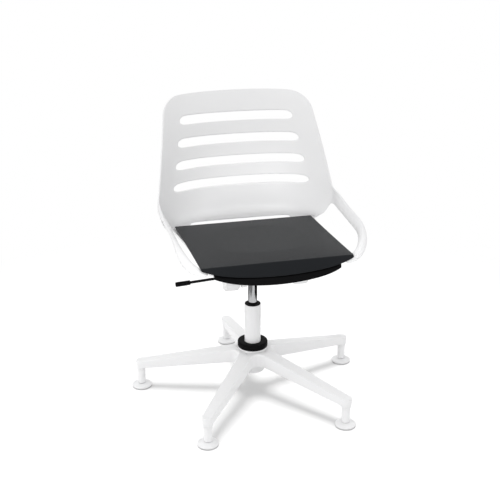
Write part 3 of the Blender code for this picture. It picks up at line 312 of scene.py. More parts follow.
class LiftSizes(bpy.types.PropertyGroup):
    """Sizes of the gas lift and its lever."""
    collar_radius: length("Collar radius", 0.0465, "Radius of the collar on the hub")
    collar_height: length("Collar height", 0.019, "Height of that collar")
    tube_radius: length("Tube radius", 0.025, "Radius of the column's tube")
    tube_wall: length("Tube wall", 0.0025, "Wall of that tube")
    tube_top: length("Tube top", 0.295, "Top of the tube")
    bush_rim: length("Bush rim", 0.002, "Height of the bush above the tube")
    bush_length: length("Bush length", 0.060, "Length of the bush in the tube")
    cylinder_radius: length("Cylinder radius", 0.014, "Radius of the chromed cylinder")
    cylinder_top: length("Cylinder top", 0.449, "Top of the cylinder")
    cylinder_length: length("Cylinder length", 0.255, "Length of the cylinder")
    cylinder_taper: length("Cylinder taper", 0.0008, "Loss of radius up the cone")
    cone_length: length("Cone length", 0.045, "Length of the cone in the carrier")
    lever_radius: length("Lever radius", 0.004, "Radius of the lever's rod")
    lever_pivot: FloatVectorProperty(name="Lever pivot", description="Where the rod turns in the carrier",
                                     default=(-0.052, -0.095, 0.434), subtype="TRANSLATION", precision=4)
    lever_end: FloatVectorProperty(name="Lever end", description="Outer end of the grip",
                                   default=(-0.255, -0.100, 0.4245), subtype="TRANSLATION", precision=4)
    press_height: length("Press height", 0.4598, "Middle of the rod over the release button")
    grip_radius: length("Grip radius", 0.007, "Radius of the lever's grip")
    grip_length: length("Grip length", 0.043, "Length of the lever's grip")
    grip_seat: length("Grip seat", 0.030, "Length of the rod inside the grip")


class Colours(bpy.types.PropertyGroup):
    """Colours of the finishes."""
    moulding: colour("Moulding", (0.80, 0.80, 0.805), "White of the shell")
    enamel: colour("Enamel", (0.88, 0.88, 0.885), "White of the base, the column and the rails")
    fabric: colour("Fabric", (0.0066, 0.0070, 0.0082), "Black of the pad's cover")
    plastic: colour("Plastic", (0.0046, 0.0046, 0.0050), "Black of the tray, collar and grip")
    coat: colour("Coat", (0.008, 0.008, 0.0085), "Black of the lever and carrier")
    chrome: colour("Chrome", (0.42, 0.422, 0.428), "Tint of the chromed cylinder")
    steel: colour("Steel", (0.42, 0.42, 0.43), "Tint of pins and screws")
    sole: colour("Sole", (0.55, 0.55, 0.55), "Grey of the soles")
    floor: colour("Floor", (0.33, 0.33, 0.33), "Colour of the floor")


# Materials

THREAD_PITCH = 0.0018       # two threads of the woven cover


class Value:
    """A shader socket with Python's operators, each of which adds a Math node."""

    def __init__(self, finish, socket):
        self.finish = finish
        self.socket = socket

    def math(self, operation, first, second=0.0):
        return self.finish.node("ShaderNodeMath", {"operation": operation}, {0: first, 1: second})

    def __add__(self, other):
        return self.math("ADD", self, other)

    def __radd__(self, other):
        return self.math("ADD", other, self)

    def __rsub__(self, other):
        return self.math("SUBTRACT", other, self)

    def __mul__(self, other):
        return self.math("MULTIPLY", self, other)

    def __rmul__(self, other):
        return self.math("MULTIPLY", other, self)

    def __gt__(self, other):
        return self.math("GREATER_THAN", self, other)

    def __abs__(self):
        return self.math("ABSOLUTE", self)

    def wave(self):
        return self.math("SINE", self)


class Finish:
    """One material: its node tree, its shader and the ways to add to them."""

    def __init__(self, name):
        self.material = bpy.data.materials.new(name)
        self.material.use_nodes = True
        self.tree = self.material.node_tree
        self.shader = self.tree.nodes["Principled BSDF"]

    def node(self, kind, settings=None, sockets=None, output=0):
        node = self.tree.nodes.new(kind)
        for name, setting in (settings or {}).items():
            setattr(node, name, setting)
        for name, value in (sockets or {}).items():
            self.link(value, node.inputs[name])
        return Value(self, node.outputs[output])

    def link(self, value, socket):
        if isinstance(value, Value):
            self.tree.links.new(value.socket, socket)
        else:
            socket.default_value = value

    def set(self, **sockets):
        """Set or link the shader's own sockets, whose names have _ for a space."""
        for name, value in sockets.items():
            self.link(value, self.shader.inputs[name.replace("_", " ")])

    def place(self, scale=(1.0, 1.0, 1.0)):
        """Object coordinates, stretched."""
        here = self.node("ShaderNodeTexCoord", output="Object")
        return self.node("ShaderNodeMapping", {"vector_type": "POINT"}, {"Vector": here, "Scale": scale})

    def noise(self, scale, detail=2.0, stretch=(1.0, 1.0, 1.0)):
        return self.node("ShaderNodeTexNoise", {}, {"Vector": self.place(stretch), "Scale": scale,
                                                    "Detail": detail})

    def mix(self, factor, first, second):
        """Colour between two colours."""
        return self.node("ShaderNodeMix", {"data_type": "RGBA"}, {0: factor, 6: first, 7: second}, output=2)

    def bump(self, height, strength, distance):
        return self.node("ShaderNodeBump", {}, {"Height": height, "Strength": strength, "Distance": distance})


def shade(tint, factor):
    """The tint, lighter or darker, as a socket's colour."""
    return (*(min(part * factor, 1.0) for part in tint), 1.0)


def moulded_white(tint):
    """Moulded plastic with a fine even grain and faint flow marks."""
    finish = Finish("moulded_white")
    cloud = finish.noise(scale=9.0, detail=3.0)
    grain = finish.noise(scale=1100.0)
    finish.set(Base_Color=finish.mix(cloud, shade(tint, 0.975), shade(tint, 1.02)),
               Roughness=0.36 + 0.12 * cloud + 0.06 * grain,
               Normal=finish.bump(grain, strength=0.10, distance=0.0002))
    return finish.material


def enamelled_white(name, tint, roughness):
    """Powder coat on metal: a slow orange-peel ripple under a satin gloss."""
    finish = Finish(name)
    cloud = finish.noise(scale=12.0, detail=3.0)
    peel = finish.noise(scale=420.0, detail=1.0)
    finish.set(Base_Color=finish.mix(cloud, shade(tint, 0.975), shade(tint, 1.02)),
               Roughness=roughness + 0.08 * cloud,
               Coat_Weight=0.15, Coat_Roughness=0.2,
               Normal=finish.bump(peel, strength=0.08, distance=0.0003))
    return finish.material


def woven_black(tint):
    """Fine woven cover: threads that pass over and under, with flecks of a lighter yarn, and painted shade
    where the threads dip.
    """
    finish = Finish("woven_black")
    here = finish.node("ShaderNodeSeparateXYZ", {}, {"Vector": finish.place()})
    across = Value(finish, here.socket.node.outputs["X"])
    along = Value(finish, here.socket.node.outputs["Y"])
    up = Value(finish, here.socket.node.outputs["Z"])
    turns = 2 * math.pi / THREAD_PITCH
    warp = (across * turns).wave()
    weft = ((along + up) * turns).wave()
    over = warp * weft > 0.0
    thread_relief_and_shade = over * abs(warp) + (1 - over) * abs(weft)
    fleck = finish.noise(scale=260.0)
    cloud = finish.noise(scale=7.0)
    # painted shade: the threads' height darkens the colour where they dip and lightens it on their crests;
    # fleck and cloud are the yarn's own tone
    tone = 0.55 * fleck + 0.25 * thread_relief_and_shade + 0.2 * cloud
    finish.set(Base_Color=finish.mix(tone, shade(tint, 0.7), shade(tint, 1.45)),
               Roughness=0.52 + 0.12 * fleck,
               Specular_IOR_Level=0.15, Specular_Tint=shade((0.82, 0.92, 1.0), 1.0),
               Sheen_Weight=0.12, Sheen_Roughness=0.5,
               Normal=finish.bump(thread_relief_and_shade + 0.4 * fleck, strength=0.25, distance=0.0004))
    return finish.material


def grained_black(name, tint, roughness, grain_scale, strength):
    """Black plastic or black coat with its own grain."""
    finish = Finish(name)
    cloud = finish.noise(scale=25.0, detail=3.0)
    grain = finish.noise(grain_scale)
    finish.set(Base_Color=finish.mix(cloud, shade(tint, 0.85), shade(tint, 1.2)),
               Roughness=roughness + 0.1 * cloud + 0.06 * grain,
               Specular_IOR_Level=0.04,
               Normal=finish.bump(grain, strength, distance=0.0003))
    return finish.material


def bright_metal(name, tint, roughness, stretch, strength):
    """Drawn or turned metal whose fine marks run one way."""
    finish = Finish(name)
    mark = finish.noise(scale=500.0, stretch=stretch)
    cloud = finish.noise(scale=30.0)
    finish.set(Base_Color=finish.mix(mark, shade(tint, 0.94), shade(tint, 1.06)),
               Roughness=roughness + 0.08 * mark + 0.04 * cloud,
               Metallic=1.0,
               Normal=finish.bump(mark, strength, distance=0.0001))
    return finish.material


def felted_sole(tint):
    """Pressed felt under the discs."""
    finish = Finish("felted_sole")
    fibre = finish.noise(scale=700.0, detail=4.0)
    finish.set(Base_Color=finish.mix(fibre, shade(tint, 0.7), shade(tint, 1.25)),
               Roughness=0.85 + 0.1 * fibre, Sheen_Weight=0.2,
               Normal=finish.bump(fibre, strength=0.4, distance=0.0006))
    return finish.material


FINISHES = {}               # material of each slot, once it is made


def finish_for(slot):
    """The material of a slot, made when it is first asked for."""
    if slot in FINISHES:
        return FINISHES[slot]
    tints = bpy.context.scene.chair_colours
    makers = {
        "white_moulding": lambda: moulded_white(tints.moulding),
        "white_casting": lambda: enamelled_white("enamelled_casting", tints.enamel, roughness=0.34),
        "white_steel": lambda: enamelled_white("enamelled_tube", tints.enamel, roughness=0.28),
        "white_foot": lambda: enamelled_white("enamelled_foot", tints.enamel, roughness=0.40),
        "grey_sole": lambda: felted_sole(tints.sole),
        "black_plastic": lambda: grained_black("grained_plastic", tints.plastic, roughness=0.45,
                                               grain_scale=900.0, strength=0.12),
        "black_metal": lambda: grained_black("black_coat", tints.coat, roughness=0.34,
                                             grain_scale=500.0, strength=0.10),
        "black_fabric": lambda: woven_black(tints.fabric),
        "chrome": lambda: bright_metal("polished_chrome", tints.chrome, roughness=0.03,
                                       stretch=(1.0, 1.0, 0.03), strength=0.02),
        "bright_steel": lambda: bright_metal("turned_steel", tints.steel, roughness=0.26,
                                             stretch=(0.1, 1.0, 1.0), strength=0.05),
    }
    FINISHES[slot] = makers[slot]()
    return FINISHES[slot]


# Mesh helpers

TURNED = {                  # rounding of the corners, and steps round
    "boss": (0.0012, 32), "hub": (0.002, 72), "seat": (0.0008, 40), "stem": (0.0009, 40),
    "disc": (0.0013, 56), "sole": (0.0007, 56), "collar": (0.0028, 72), "tube": (0.0008, 72),
    "bush": (0.0007, 72), "cylinder": (0.0010, 72), "grip": (0.0012, 40)}


def add_piece(name, bm, body, slot, nodes=()):
    """Make a piece of a mesh drawn in chair coordinates, and tie it to the frame."""
    bmesh.ops.translate(bm, verts=bm.verts, vec=AXIS)
    mesh = bpy.data.meshes.new(name)
    bm.to_mesh(mesh)
    bm.free()
    mesh.shade_smooth()
    mesh.materials.append(finish_for(slot))
    piece = bpy.data.objects.new(name, mesh)
    bpy.context.scene.collection.objects.link(piece)
    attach(piece, body)
    if nodes:
        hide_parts(*nodes)
    return piece


def subdivide(piece, levels):
    modifier = piece.modifiers.new("smooth", "SUBSURF")
    modifier.levels = levels
    modifier.render_levels = levels
    return piece


def thicken(piece, wall):
    modifier = piece.modifiers.new("wall", "SOLIDIFY")
    modifier.thickness = wall
    modifier.offset = -1.0
    return piece


def close_up(bm):
    """Merge doubles and point every face outwards."""
    bmesh.ops.remove_doubles(bm, verts=bm.verts, dist=MERGE)
    bmesh.ops.recalc_face_normals(bm, faces=bm.faces)


def everything(bm):
    return bm.verts[:] + bm.edges[:] + bm.faces[:]


def turn(bm, profile, edge, steps, ring=False, place=(0.0, 0.0, 0.0)):
    """Turn a profile of (radius, height) points about an upright line, its corners rounded."""
    verts = [bm.verts.new((place[0] + radius, place[1], place[2] + height)) for radius, height in profile]
    pairs = list(zip(verts, verts[1:]))
    if ring:
        pairs.append((verts[-1], verts[0]))
    line = [bm.edges.new(pair) for pair in pairs]
    corners = [v for v in verts if len(v.link_edges) == 2 and v.co.x - place[0] > MERGE]
    kept = [v for v in verts if v not in corners]
    rounded = bmesh.ops.bevel(bm, geom=corners, offset=edge, offset_type="OFFSET", segments=3, profile=0.5,
                              affect="VERTICES", clamp_overlap=True, material=-1)
    shape = set(kept) | set(rounded["verts"])
    line = {e for v in shape for e in v.link_edges}
    bmesh.ops.spin(bm, geom=list(shape) + list(line), cent=place, axis=(0, 0, 1), angle=2 * math.pi,
                   steps=steps, use_merge=True)


def add_turned(name, node, body, profile, ring=False, place=(0.0, 0.0, 0.0)):
    """Turned piece that takes the place of one node of the frame."""
    bm = bmesh.new()
    turn(bm, profile, *TURNED[name.split("_")[0]], ring, place)
    close_up(bm)
    add_piece(name, bm, body, SLOTS[node], [node])


def grid(columns, rows):
    """A net with a vertex for each column and row, and the column and row number of each vertex."""
    bm = bmesh.new()
    bmesh.ops.create_grid(bm, x_segments=columns - 1, y_segments=rows - 1, size=1.0)
    numbers = {v: (round((v.co.x + 1) / 2 * (columns - 1)), round((v.co.y + 1) / 2 * (rows - 1)))
               for v in bm.verts}
    return bm, numbers


def sweep(path, radius, segments):
    """Round rod along a path."""
    bm = bmesh.new()
    bmesh.ops.create_cone(bm, cap_ends=True, segments=segments, radius1=1.0, radius2=1.0, depth=2.0)
    sides = [e for e in bm.edges if abs(e.verts[0].co.z - e.verts[1].co.z) > 1]
    bmesh.ops.subdivide_edges(bm, edges=sides, cuts=len(path) - 2, use_grid_fill=True)
    last = len(path) - 1
    for vert in bm.verts:
        index = round((vert.co.z + 1) / 2 * last)
        heading = (path[min(index + 1, last)] - path[max(index - 1, 0)]).normalized()
        across = heading.cross(Vector((0, 0, 1))).normalized()
        upward = across.cross(heading)
        vert.co = path[index] + across * vert.co.x * radius + upward * vert.co.y * radius
    return bm


# Shell

ROUND_START = 0.89          # where a slot's rounded end starts, as a share of its half-length
# Columns of half the shell's net: 1 is at the slots' ends and 2 at the sheet's edge
SHELL_COLUMNS = (0.2, 0.4, 0.58, 0.74, ROUND_START, 0.94, 0.975, 1.0, 1.08, 1.4, 1.75, 1.93, 2.0)
PLATE_ROWS = (-0.25, -0.19, -0.12, -0.05, 0.02, 0.07)       # rows on the seat plate, by their place on Y
BEND_ROWS = (1.0, 1.2, 1.4)         # rows on the bend beside the gap, along the sheet
GAP_LIP = 0.06              # support row above the gap, along the sheet
BACK_FOOT_ROWS = (1.77, 1.88, 2.0)  # rows from there to the back
TOP_ROWS = (3.2, 3.4, 3.6, 3.8, 3.93, 4.0)
SLOT_LIP = 0.0045           # support row beside a cut edge
SLOT_TIP = 0.0035           # half-height of a slot's very end
SLOT_REACH = 0.8            # most that a slot takes of the sheet's half-width
LOOP_ROWS = 5               # spaces between the rows from which a loop grows
LOOP_SPREAD = math.radians(72)      # corners of a loop's section above and below its middle
LOOP_STEPS = 9              # points on each half of a loop's line
LOOP_RUN_PULL = 0.25        # pull of the curve's ends on a loop's upper half, as a share of its length
LOOP_TURN_PULL = 0.46       # the same for its lower half
LOOP_WAYS = ((-0.05, -1.0, -0.10), (0.0, -1.0, -0.08), (-1.0, 0.05, -0.12))    # start, bend and end, on +X
BOSS_RADIUS = 0.011
BOSS_BORE = 0.0034
BOSS_DROP = 0.0035          # bosses below the seat plate


def shell_rows(s):
    """Rows of the shell's net as places along the sheet, and what some of them follow.

    Returns the rows, the slot and edge of each row beside a slot, the rows of the gap behind the
    seat, and the rows between which the loops leave the back.
    """
    rows = [s.along_plate(y) for y in (s.plate_front, s.plate_front + SLOT_LIP, *PLATE_ROWS,
                                       s.plate_rear - SLOT_LIP, s.plate_rear)]
    gap_low = len(rows) - 1
    gap_top = s.along_height(s.plate_top + s.gap_rise)
    rows += [*BEND_ROWS, gap_top]
    gap = (gap_low, len(rows) - 1)
    rows += [gap_top + GAP_LIP, *BACK_FOOT_ROWS]
    edges = {}
    half = s.slot_height / 2
    root_low = s.loop_height() - s.loop_root_depth / 2
    root_high = s.slot_place(0) - half - SLOT_LIP
    root = (len(rows), len(rows) + LOOP_ROWS)
    rows += [s.along_height(blend(root_low, root_high, step / (LOOP_ROWS - 1)))
             for step in range(LOOP_ROWS - 1)]
    for index in range(SLOT_COUNT):
        height = s.slot_place(index)
        rows.append(s.along_height(height - half - SLOT_LIP))
        for side in (-1, 1):
            edges[len(rows)] = (index, side)
            rows.append(s.along_height(height + side * half))
        rows.append(s.along_height(height + half + SLOT_LIP))
        if index < SLOT_COUNT - 1:
            rows.append(s.along_height(height + s.slot_pitch / 2))
    rows += TOP_ROWS
    return rows, edges, gap, root


def slot_reach(s, along):
    """Half-width of the net's inner columns: the slots' ends, and the gap below them."""
    height = s.place(0.0, along).z
    gap_reach = s.gap_half / ROUND_START
    gap_top = s.plate_top + s.gap_rise
    first = s.slot_place(0)
    if along <= s.along_height(gap_top):
        return gap_reach
    if height < first:
        return blend(gap_reach, s.slot_half, (height - gap_top) / (first - gap_top))
    reach = s.slot_half - s.slot_step * (height - first) / s.slot_pitch
    return min(reach, SLOT_REACH * s.half_at(along))


def build_shell(s):
    """The sheet with its slots and the gap behind the seat, thickened, and the loops grown out of it."""
    columns = [-c for c in reversed(SHELL_COLUMNS)] + [0.0] + list(SHELL_COLUMNS)
    rows, edges, gap, root = shell_rows(s)
    bm, numbers = grid(len(columns), len(rows))
    holes = [(gap[0], gap[1], ROUND_START)]
    holes += [(row, row + 1, 1.0) for row, (_, side) in edges.items() if side < 0]
    cut = []
    for face in bm.faces:
        reach = max(abs(columns[numbers[v][0]]) for v in face.verts)
        levels = [numbers[v][1] for v in face.verts]
        if any(low <= min(levels) and max(levels) <= high and reach < limit + MERGE
               for low, high, limit in holes):
            cut.append(face)
    roots = {}
    for vert in bm.verts:
        column = columns[numbers[vert][0]]
        row = numbers[vert][1]
        along = rows[row]
        share = abs(column)
        if row in edges and ROUND_START <= share <= 1.0:
            index, side = edges[row]
            swing = (share - ROUND_START) / (1 - ROUND_START)
            rise = max(s.slot_height / 2 * math.sqrt(1 - swing * swing), SLOT_TIP)
            along = s.along_height(s.slot_place(index) + side * rise)
        reach = slot_reach(s, along)
        x = reach * share if share <= 1 else blend(reach, s.half_at(along), share - 1)
        vert.co = s.place(math.copysign(x, column), along)
        if share == SHELL_COLUMNS[-1] and root[0] <= row <= root[1]:
            roots[vert] = (math.copysign(1, column), blend(-1, 1, (row - root[0]) / LOOP_ROWS))
    bmesh.ops.delete(bm, geom=cut, context="FACES")
    bmesh.ops.recalc_face_normals(bm, faces=bm.faces)
    if min(bm.faces, key=lambda f: f.calc_center_median().z).normal.z < 0:
        bmesh.ops.reverse_faces(bm, faces=bm.faces)
    sheet = set(bm.faces)
    bmesh.ops.solidify(bm, geom=bm.faces, thickness=s.wall)
    for side in (-1, 1):
        grow_loop(bm, s, sheet, {v: level for v, (where, level) in roots.items() if where == side}, side)
    close_up(bm)
    return bm


def loop_path(s, side):
    """Middle line of a loop: forward from the wing, then down and under the corner."""
    height = s.loop_height()
    root = s.place(side * s.back_half, s.along_height(height))
    bend = Vector((side * (s.back_half - s.loop_inset), s.loop_bend, height - s.loop_drop))
    end_half = s.plate_half - s.loop_end_inset
    end = Vector((side * end_half, s.plate_front + s.loop_end_back,
                  s.plate_top + s.dish(end_half) - s.wall / 2 + s.loop_end_rise))
    run = (root - bend).length * LOOP_RUN_PULL
    drop = (end - bend).length * LOOP_TURN_PULL
    outward, forward, inward = (Vector((x * side, y, z)).normalized() for x, y, z in LOOP_WAYS)
    straight = interpolate_bezier(root, root + outward * run, bend - forward * run, bend, LOOP_STEPS)
    turned = interpolate_bezier(bend, bend + forward * drop, end - inward * drop, end, LOOP_STEPS)
    return straight + turned[1:]


def grow_loop(bm, s, sheet, levels, side):
    """Open the sheet's rim at the given vertices and draw it out along the loop's line.

    The strap starts as broad as the rim, leans outwards on its way, and flattens under the corner.
    """
    rim = [f for e in bm.edges if e.verts[0] in levels and e.verts[1] in levels for f in e.link_faces
           if f not in sheet]
    corners = {v: (-1, level) for v, level in levels.items()}
    for edge in {e for f in rim for e in f.edges}:
        known = [v for v in edge.verts if v in levels]
        if len(known) == 1:
            corners[edge.other_vert(known[0])] = (1, levels[known[0]])
    bmesh.ops.delete(bm, geom=rim, context="FACES")
    ring = [e for e in bm.edges if e.is_boundary]
    path = loop_path(s, side)
    last = len(path) - 1
    for index in range(1, last + 1):
        heading = (path[min(index + 1, last)] - path[index - 1]).normalized()
        outward = Vector((0, 0, side)).cross(heading).normalized()
        upward = heading.cross(outward) * side
        root = 1 - ease((path[index] - path[0]).length / s.loop_root_length)
        tip = max(0, index + 1 - LOOP_STEPS) / (LOOP_STEPS - 1)
        lean = Matrix.Rotation(-side * s.loop_lean * (1 - root) * (1 - tip), 3, heading)
        outward, upward = lean @ outward, lean @ upward
        width = blend(blend(s.loop_width, s.wall, root), s.loop_end_width, ease(2 * tip))
        depth = blend(blend(s.loop_depth, s.loop_root_depth, root), s.loop_end_depth, tip ** 4)
        made = bmesh.ops.extrude_edge_only(bm, edges=ring)["geom"]
        fresh = {}
        for vert in (g for g in made if isinstance(g, bmesh.types.BMVert)):
            before = next(e.other_vert(vert) for e in vert.link_edges if e.other_vert(vert) in corners)
            outer, level = fresh[vert] = corners[before]
            angle = level * LOOP_SPREAD
            vert.co = (path[index] + outward * (outer * math.cos(angle) * width / 2)
                       + upward * (math.sin(angle) * depth / 2))
        ring = [g for g in made if isinstance(g, bmesh.types.BMEdge) and all(v in fresh for v in g.verts)]
        corners = fresh
    bmesh.ops.edgeloop_fill(bm, edges=ring)


class CHAIR_OT_shell(bpy.types.Operator):
    """Build the moulded shell with its slots, loops and screw bosses"""
    bl_idname = "chair.shell"
    bl_label = "Shell"

    def execute(self, context):
        s = context.scene.chair_shell
        shell = add_piece("moulded_shell", build_shell(s), "seat", SLOTS["shell"], ["shell"])
        subdivide(shell, 2)
        bm = bmesh.new()
        for number in range(1, SCREW_COUNT + 1):
            low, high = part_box("rail_screw_%d" % number)
            middle = (low + high) / 2 - AXIS
            top = s.plate_top + s.dish(middle.x) - s.wall / 2
            foot = s.plate_top - s.wall - BOSS_DROP
            turn(bm, [(BOSS_BORE, top), (BOSS_RADIUS, top), (BOSS_RADIUS, foot), (BOSS_BORE, foot)],
                 *TURNED["boss"], True, (middle.x, middle.y, 0.0))
        close_up(bm)
        add_piece("screw_bosses", bm, "seat", SLOTS["shell"])
        return {"FINISHED"}


# Pad and tray

COVER_CUTS = (71, 63, 5)    # cuts of the cover's net across, along and up
COVER_EDGE = 0.999          # beyond this a point of the plain cube lies on its edge
CREASE_SHARP = 0.85         # how sharp the front crease stays
SEAM_SHARP = 0.55           # how sharp the rest of the seam stays
SWELL_FRAMES = 20
SWELL_CLOTH = {"quality": 6, "mass": 0.3, "tension_stiffness": 25.0, "compression_stiffness": 25.0,
               "shear_stiffness": 10.0, "bending_stiffness": 2.0, "use_pressure": True,
               "uniform_pressure_force": 4.0, "vertex_group_mass": "held"}
TRAY_COLUMNS = 29
# Rows of the tray's net, from the rim's lower edge at 0 over the end of its bend at 0.5 to the rear
TRAY_ROWS = (0.0, 0.04, 0.15, 0.25, 0.31, 0.37, 0.44, 0.5, 0.54, 0.58, 0.63, 0.7, 0.78, 0.86, 0.94,
             0.99, 1.0)


def pad_place(pad, shell, across, along, up, shrink):
    """Pad with a flat crowned top, a straight crease and a front that falls to the rim."""
    x = across * (pad.half - pad.draw * (1 - along * along))
    back = (along + 1) / 2
    high = (up + 1) / 2
    corner = across ** CORNER_POWER
    nose = pad.rim_front + pad.nose + pad.corner * corner
    front = blend(nose, pad.crease, high)
    crown = (pad.crown - shrink) * (1 - across * across) * (1 - along * along)
    top = shell.plate_top + blend(pad.crease_rise, pad.rear_rise, back) + crown
    floor = shell.plate_top + pad.tray_wall + 3 * FIT
    low = floor + shell.dish(x) + pad.corner_rise * corner * (1 - back)
    return Vector((x, blend(front, pad.rear, back), blend(low, top, high)))


def build_pad(pad, shell, shrink):
    """The cover as a fine net, and the vertices that its seams and its underside hold."""
    bm = bmesh.new()
    bmesh.ops.create_cube(bm, size=2.0)
    for axis, cuts in enumerate(COVER_CUTS):
        edges = [e for e in bm.edges if abs((e.verts[0].co - e.verts[1].co)[axis]) > 1]
        bmesh.ops.subdivide_edges(bm, edges=edges, cuts=cuts, use_grid_fill=True)
    bm.verts.index_update()
    crease = {v for v in bm.verts if v.co.y < -COVER_EDGE and v.co.z > COVER_EDGE}
    seam = {v for v in bm.verts if v.co.z > COVER_EDGE and max(abs(v.co.x), abs(v.co.y)) > COVER_EDGE}
    floor = {v for v in bm.verts if v.co.z < -COVER_EDGE}
    sharp = bm.edges.layers.float.new("crease_edge")
    for edge in bm.edges:
        if all(v in crease for v in edge.verts):
            edge[sharp] = CREASE_SHARP
        elif all(v in seam for v in edge.verts):
            edge[sharp] = SEAM_SHARP
    held = [v.index for v in seam | floor]
    for vert in bm.verts:
        vert.co = pad_place(pad, shell, *vert.co, shrink)
    return bm, held


def baked_mesh(obj):
    """Mesh of an object with its modifiers applied."""
    graph = bpy.context.evaluated_depsgraph_get()
    return bpy.data.meshes.new_from_object(obj.evaluated_get(graph))


def swell(obj, cap, held):
    """Blow the cover up like a filled one. Held vertices stay, the rest move by cap at most."""
    scene = bpy.context.scene
    rest = [v.co.copy() for v in obj.data.vertices]
    group = obj.vertex_groups.new(name="held")
    group.add(held, 1.0, "REPLACE")
    cloth = obj.modifiers.new("swell", "CLOTH")
    for setting, value in SWELL_CLOTH.items():
        setattr(cloth.settings, setting, value)
    cloth.settings.effector_weights.gravity = 0.0
    cloth.collision_settings.use_collision = False
    cloth.point_cache.frame_start = 1
    cloth.point_cache.frame_end = SWELL_FRAMES
    for number in range(1, SWELL_FRAMES + 1):
        scene.frame_set(number)
    swollen = baked_mesh(obj)
    obj.modifiers.remove(cloth)
    obj.vertex_groups.clear()
    scene.frame_set(1)
    for vert, start, moved in zip(obj.data.vertices, rest, swollen.vertices):
        step = moved.co - start
        if step.length > cap:
            step *= cap / step.length
        vert.co = start + step
    bpy.data.meshes.remove(swollen)


class CHAIR_OT_pad(bpy.types.Operator):
    """Build the upholstered pad and let its cover swell"""
    bl_idname = "chair.pad"
    bl_label = "Pad"

    def execute(self, context):
        pad = context.scene.chair_pad
        shell = context.scene.chair_shell
        shrink = pad.shrink
        bm, held = build_pad(pad, shell, shrink)
        piece = add_piece("upholstered_pad", bm, "seat", SLOTS["seat_pad"], ["seat_pad"])
        swell(piece, pad.swell, held)
        subdivide(piece, 1)
        return {"FINISHED"}


def tray_place(pad, shell, across, along):
    """Upper face of the tray, from the rim's lower edge over its bend and back to the rear."""
    bend_start = pad.rim_front + pad.rim_bend
    top = shell.plate_top + FIT + pad.tray_wall
    if along > 0.5:
        y = blend(bend_start, pad.tray_rear, along * 2 - 1)
        share = (y - pad.rim_front) / pad.tray_notch_length
        x = across * (pad.tray_half - pad.tray_notch * (1 - ease(2 * share - 1)))
        ahead = max(0.0, 1 - (y - bend_start) / pad.tray_notch_length)
        return Vector((x, y + ahead * shell.front_retreat(x), top + shell.dish(x)))
    x = across * (pad.tray_half - pad.tray_notch)
    drop = pad.rim_drop - pad.rim_thin * across * across
    share = along * 2
    if share > 0.5:
        angle = (share * 2 - 1) * math.pi / 2
        y = bend_start - pad.rim_bend * math.cos(angle)
        z = pad.rim_bend * (math.sin(angle) - 1)
    else:
        y = pad.rim_front
        z = blend(-drop, -pad.rim_bend, share * 2)
    return Vector((x, y + shell.front_retreat(x), top + shell.dish(x) + z))


class CHAIR_OT_tray(bpy.types.Operator):
    """Build the tray under the pad, with its rolled front rim"""
    bl_idname = "chair.tray"
    bl_label = "Tray"

    def execute(self, context):
        pad = context.scene.chair_pad
        shell = context.scene.chair_shell
        bm, numbers = grid(TRAY_COLUMNS, len(TRAY_ROWS))
        for vert in bm.verts:
            column, row = numbers[vert]
            vert.co = tray_place(pad, shell, column / (TRAY_COLUMNS - 1) * 2 - 1, TRAY_ROWS[row])
        tray = add_piece("pad_tray", bm, "seat", SLOTS["pad_base"], ["pad_base"])
        subdivide(thicken(tray, pad.tray_wall), 1)
        return {"FINISHED"}


# Base and glides

# Half an arm's section: share of the way out, inset, 1 for its top or -1 for its underside, step from there
ARM_SECTION = ((0.0, 0.0, 1, 0.0), (0.5, 0.0, 1, 0.0), (1.0, 0.0055, 1, 0.0), (1.0, 0.0024, 1, 0.0001),
               (1.0, 0.0006, 1, 0.0008), (1.0, 0.0, 1, 0.0030), (1.0, 0.0, 1, 0.012),
               (1.0, 0.0004, -1, 0.0090), (1.0, 0.0008, -1, 0.0026), (1.0, 0.0016, -1, 0.0007),
               (1.0, 0.0034, -1, 0.0), (1.0, 0.0070, -1, 0.0), (0.5, 0.0, -1, 0.0), (0.0, 0.0, -1, 0.0))
HUB_OVERLAP = 0.005         # how far the arms' inner ends reach into the hub
SEAT_BLOCK = 0.012          # height of the round seat in an arm's tip
FLARE_STEPS = 5             # steps of the flare at a stem's top
NECK_RADIUS = 0.0028        # neck under a stem, which stands in the disc
NECK_DEPTH = 0.003          # its end below the disc's top
DIMPLE_RADIUS = 0.006       # floor of the hollow in the disc's top
DIMPLE_RIM = 0.0085         # rim of that hollow
DIMPLE_DEPTH = 0.0015
DISC_SLOPE = ((0.55, 0.36), (0.86, 0.70))   # shares of the way out and down on the disc's top
# Places along half an arm: the web, the side and the tip take one unit each
ARM_STATIONS = (0.0, 0.2, 0.4, 0.6, 0.8, 1.0, 1.06, 1.18, 1.36, 1.55, 1.75, 1.92, 2.0, 2.12, 2.28, 2.45,
                2.62, 2.8, 3.0)
SPINE_EASE = 0.9            # power by which an arm's middle line runs out beside its edge
SPINE_TIP = 0.6             # how far that line runs into the tip, as a share of its half-width


def arm_angle(index):
    return math.pi / 2 + index * 2 * math.pi / ARM_COUNT


def foot_place(base, index):
    angle = arm_angle(index)
    return Vector((base.foot_circle * math.cos(angle), base.foot_circle * math.sin(angle), 0.0))


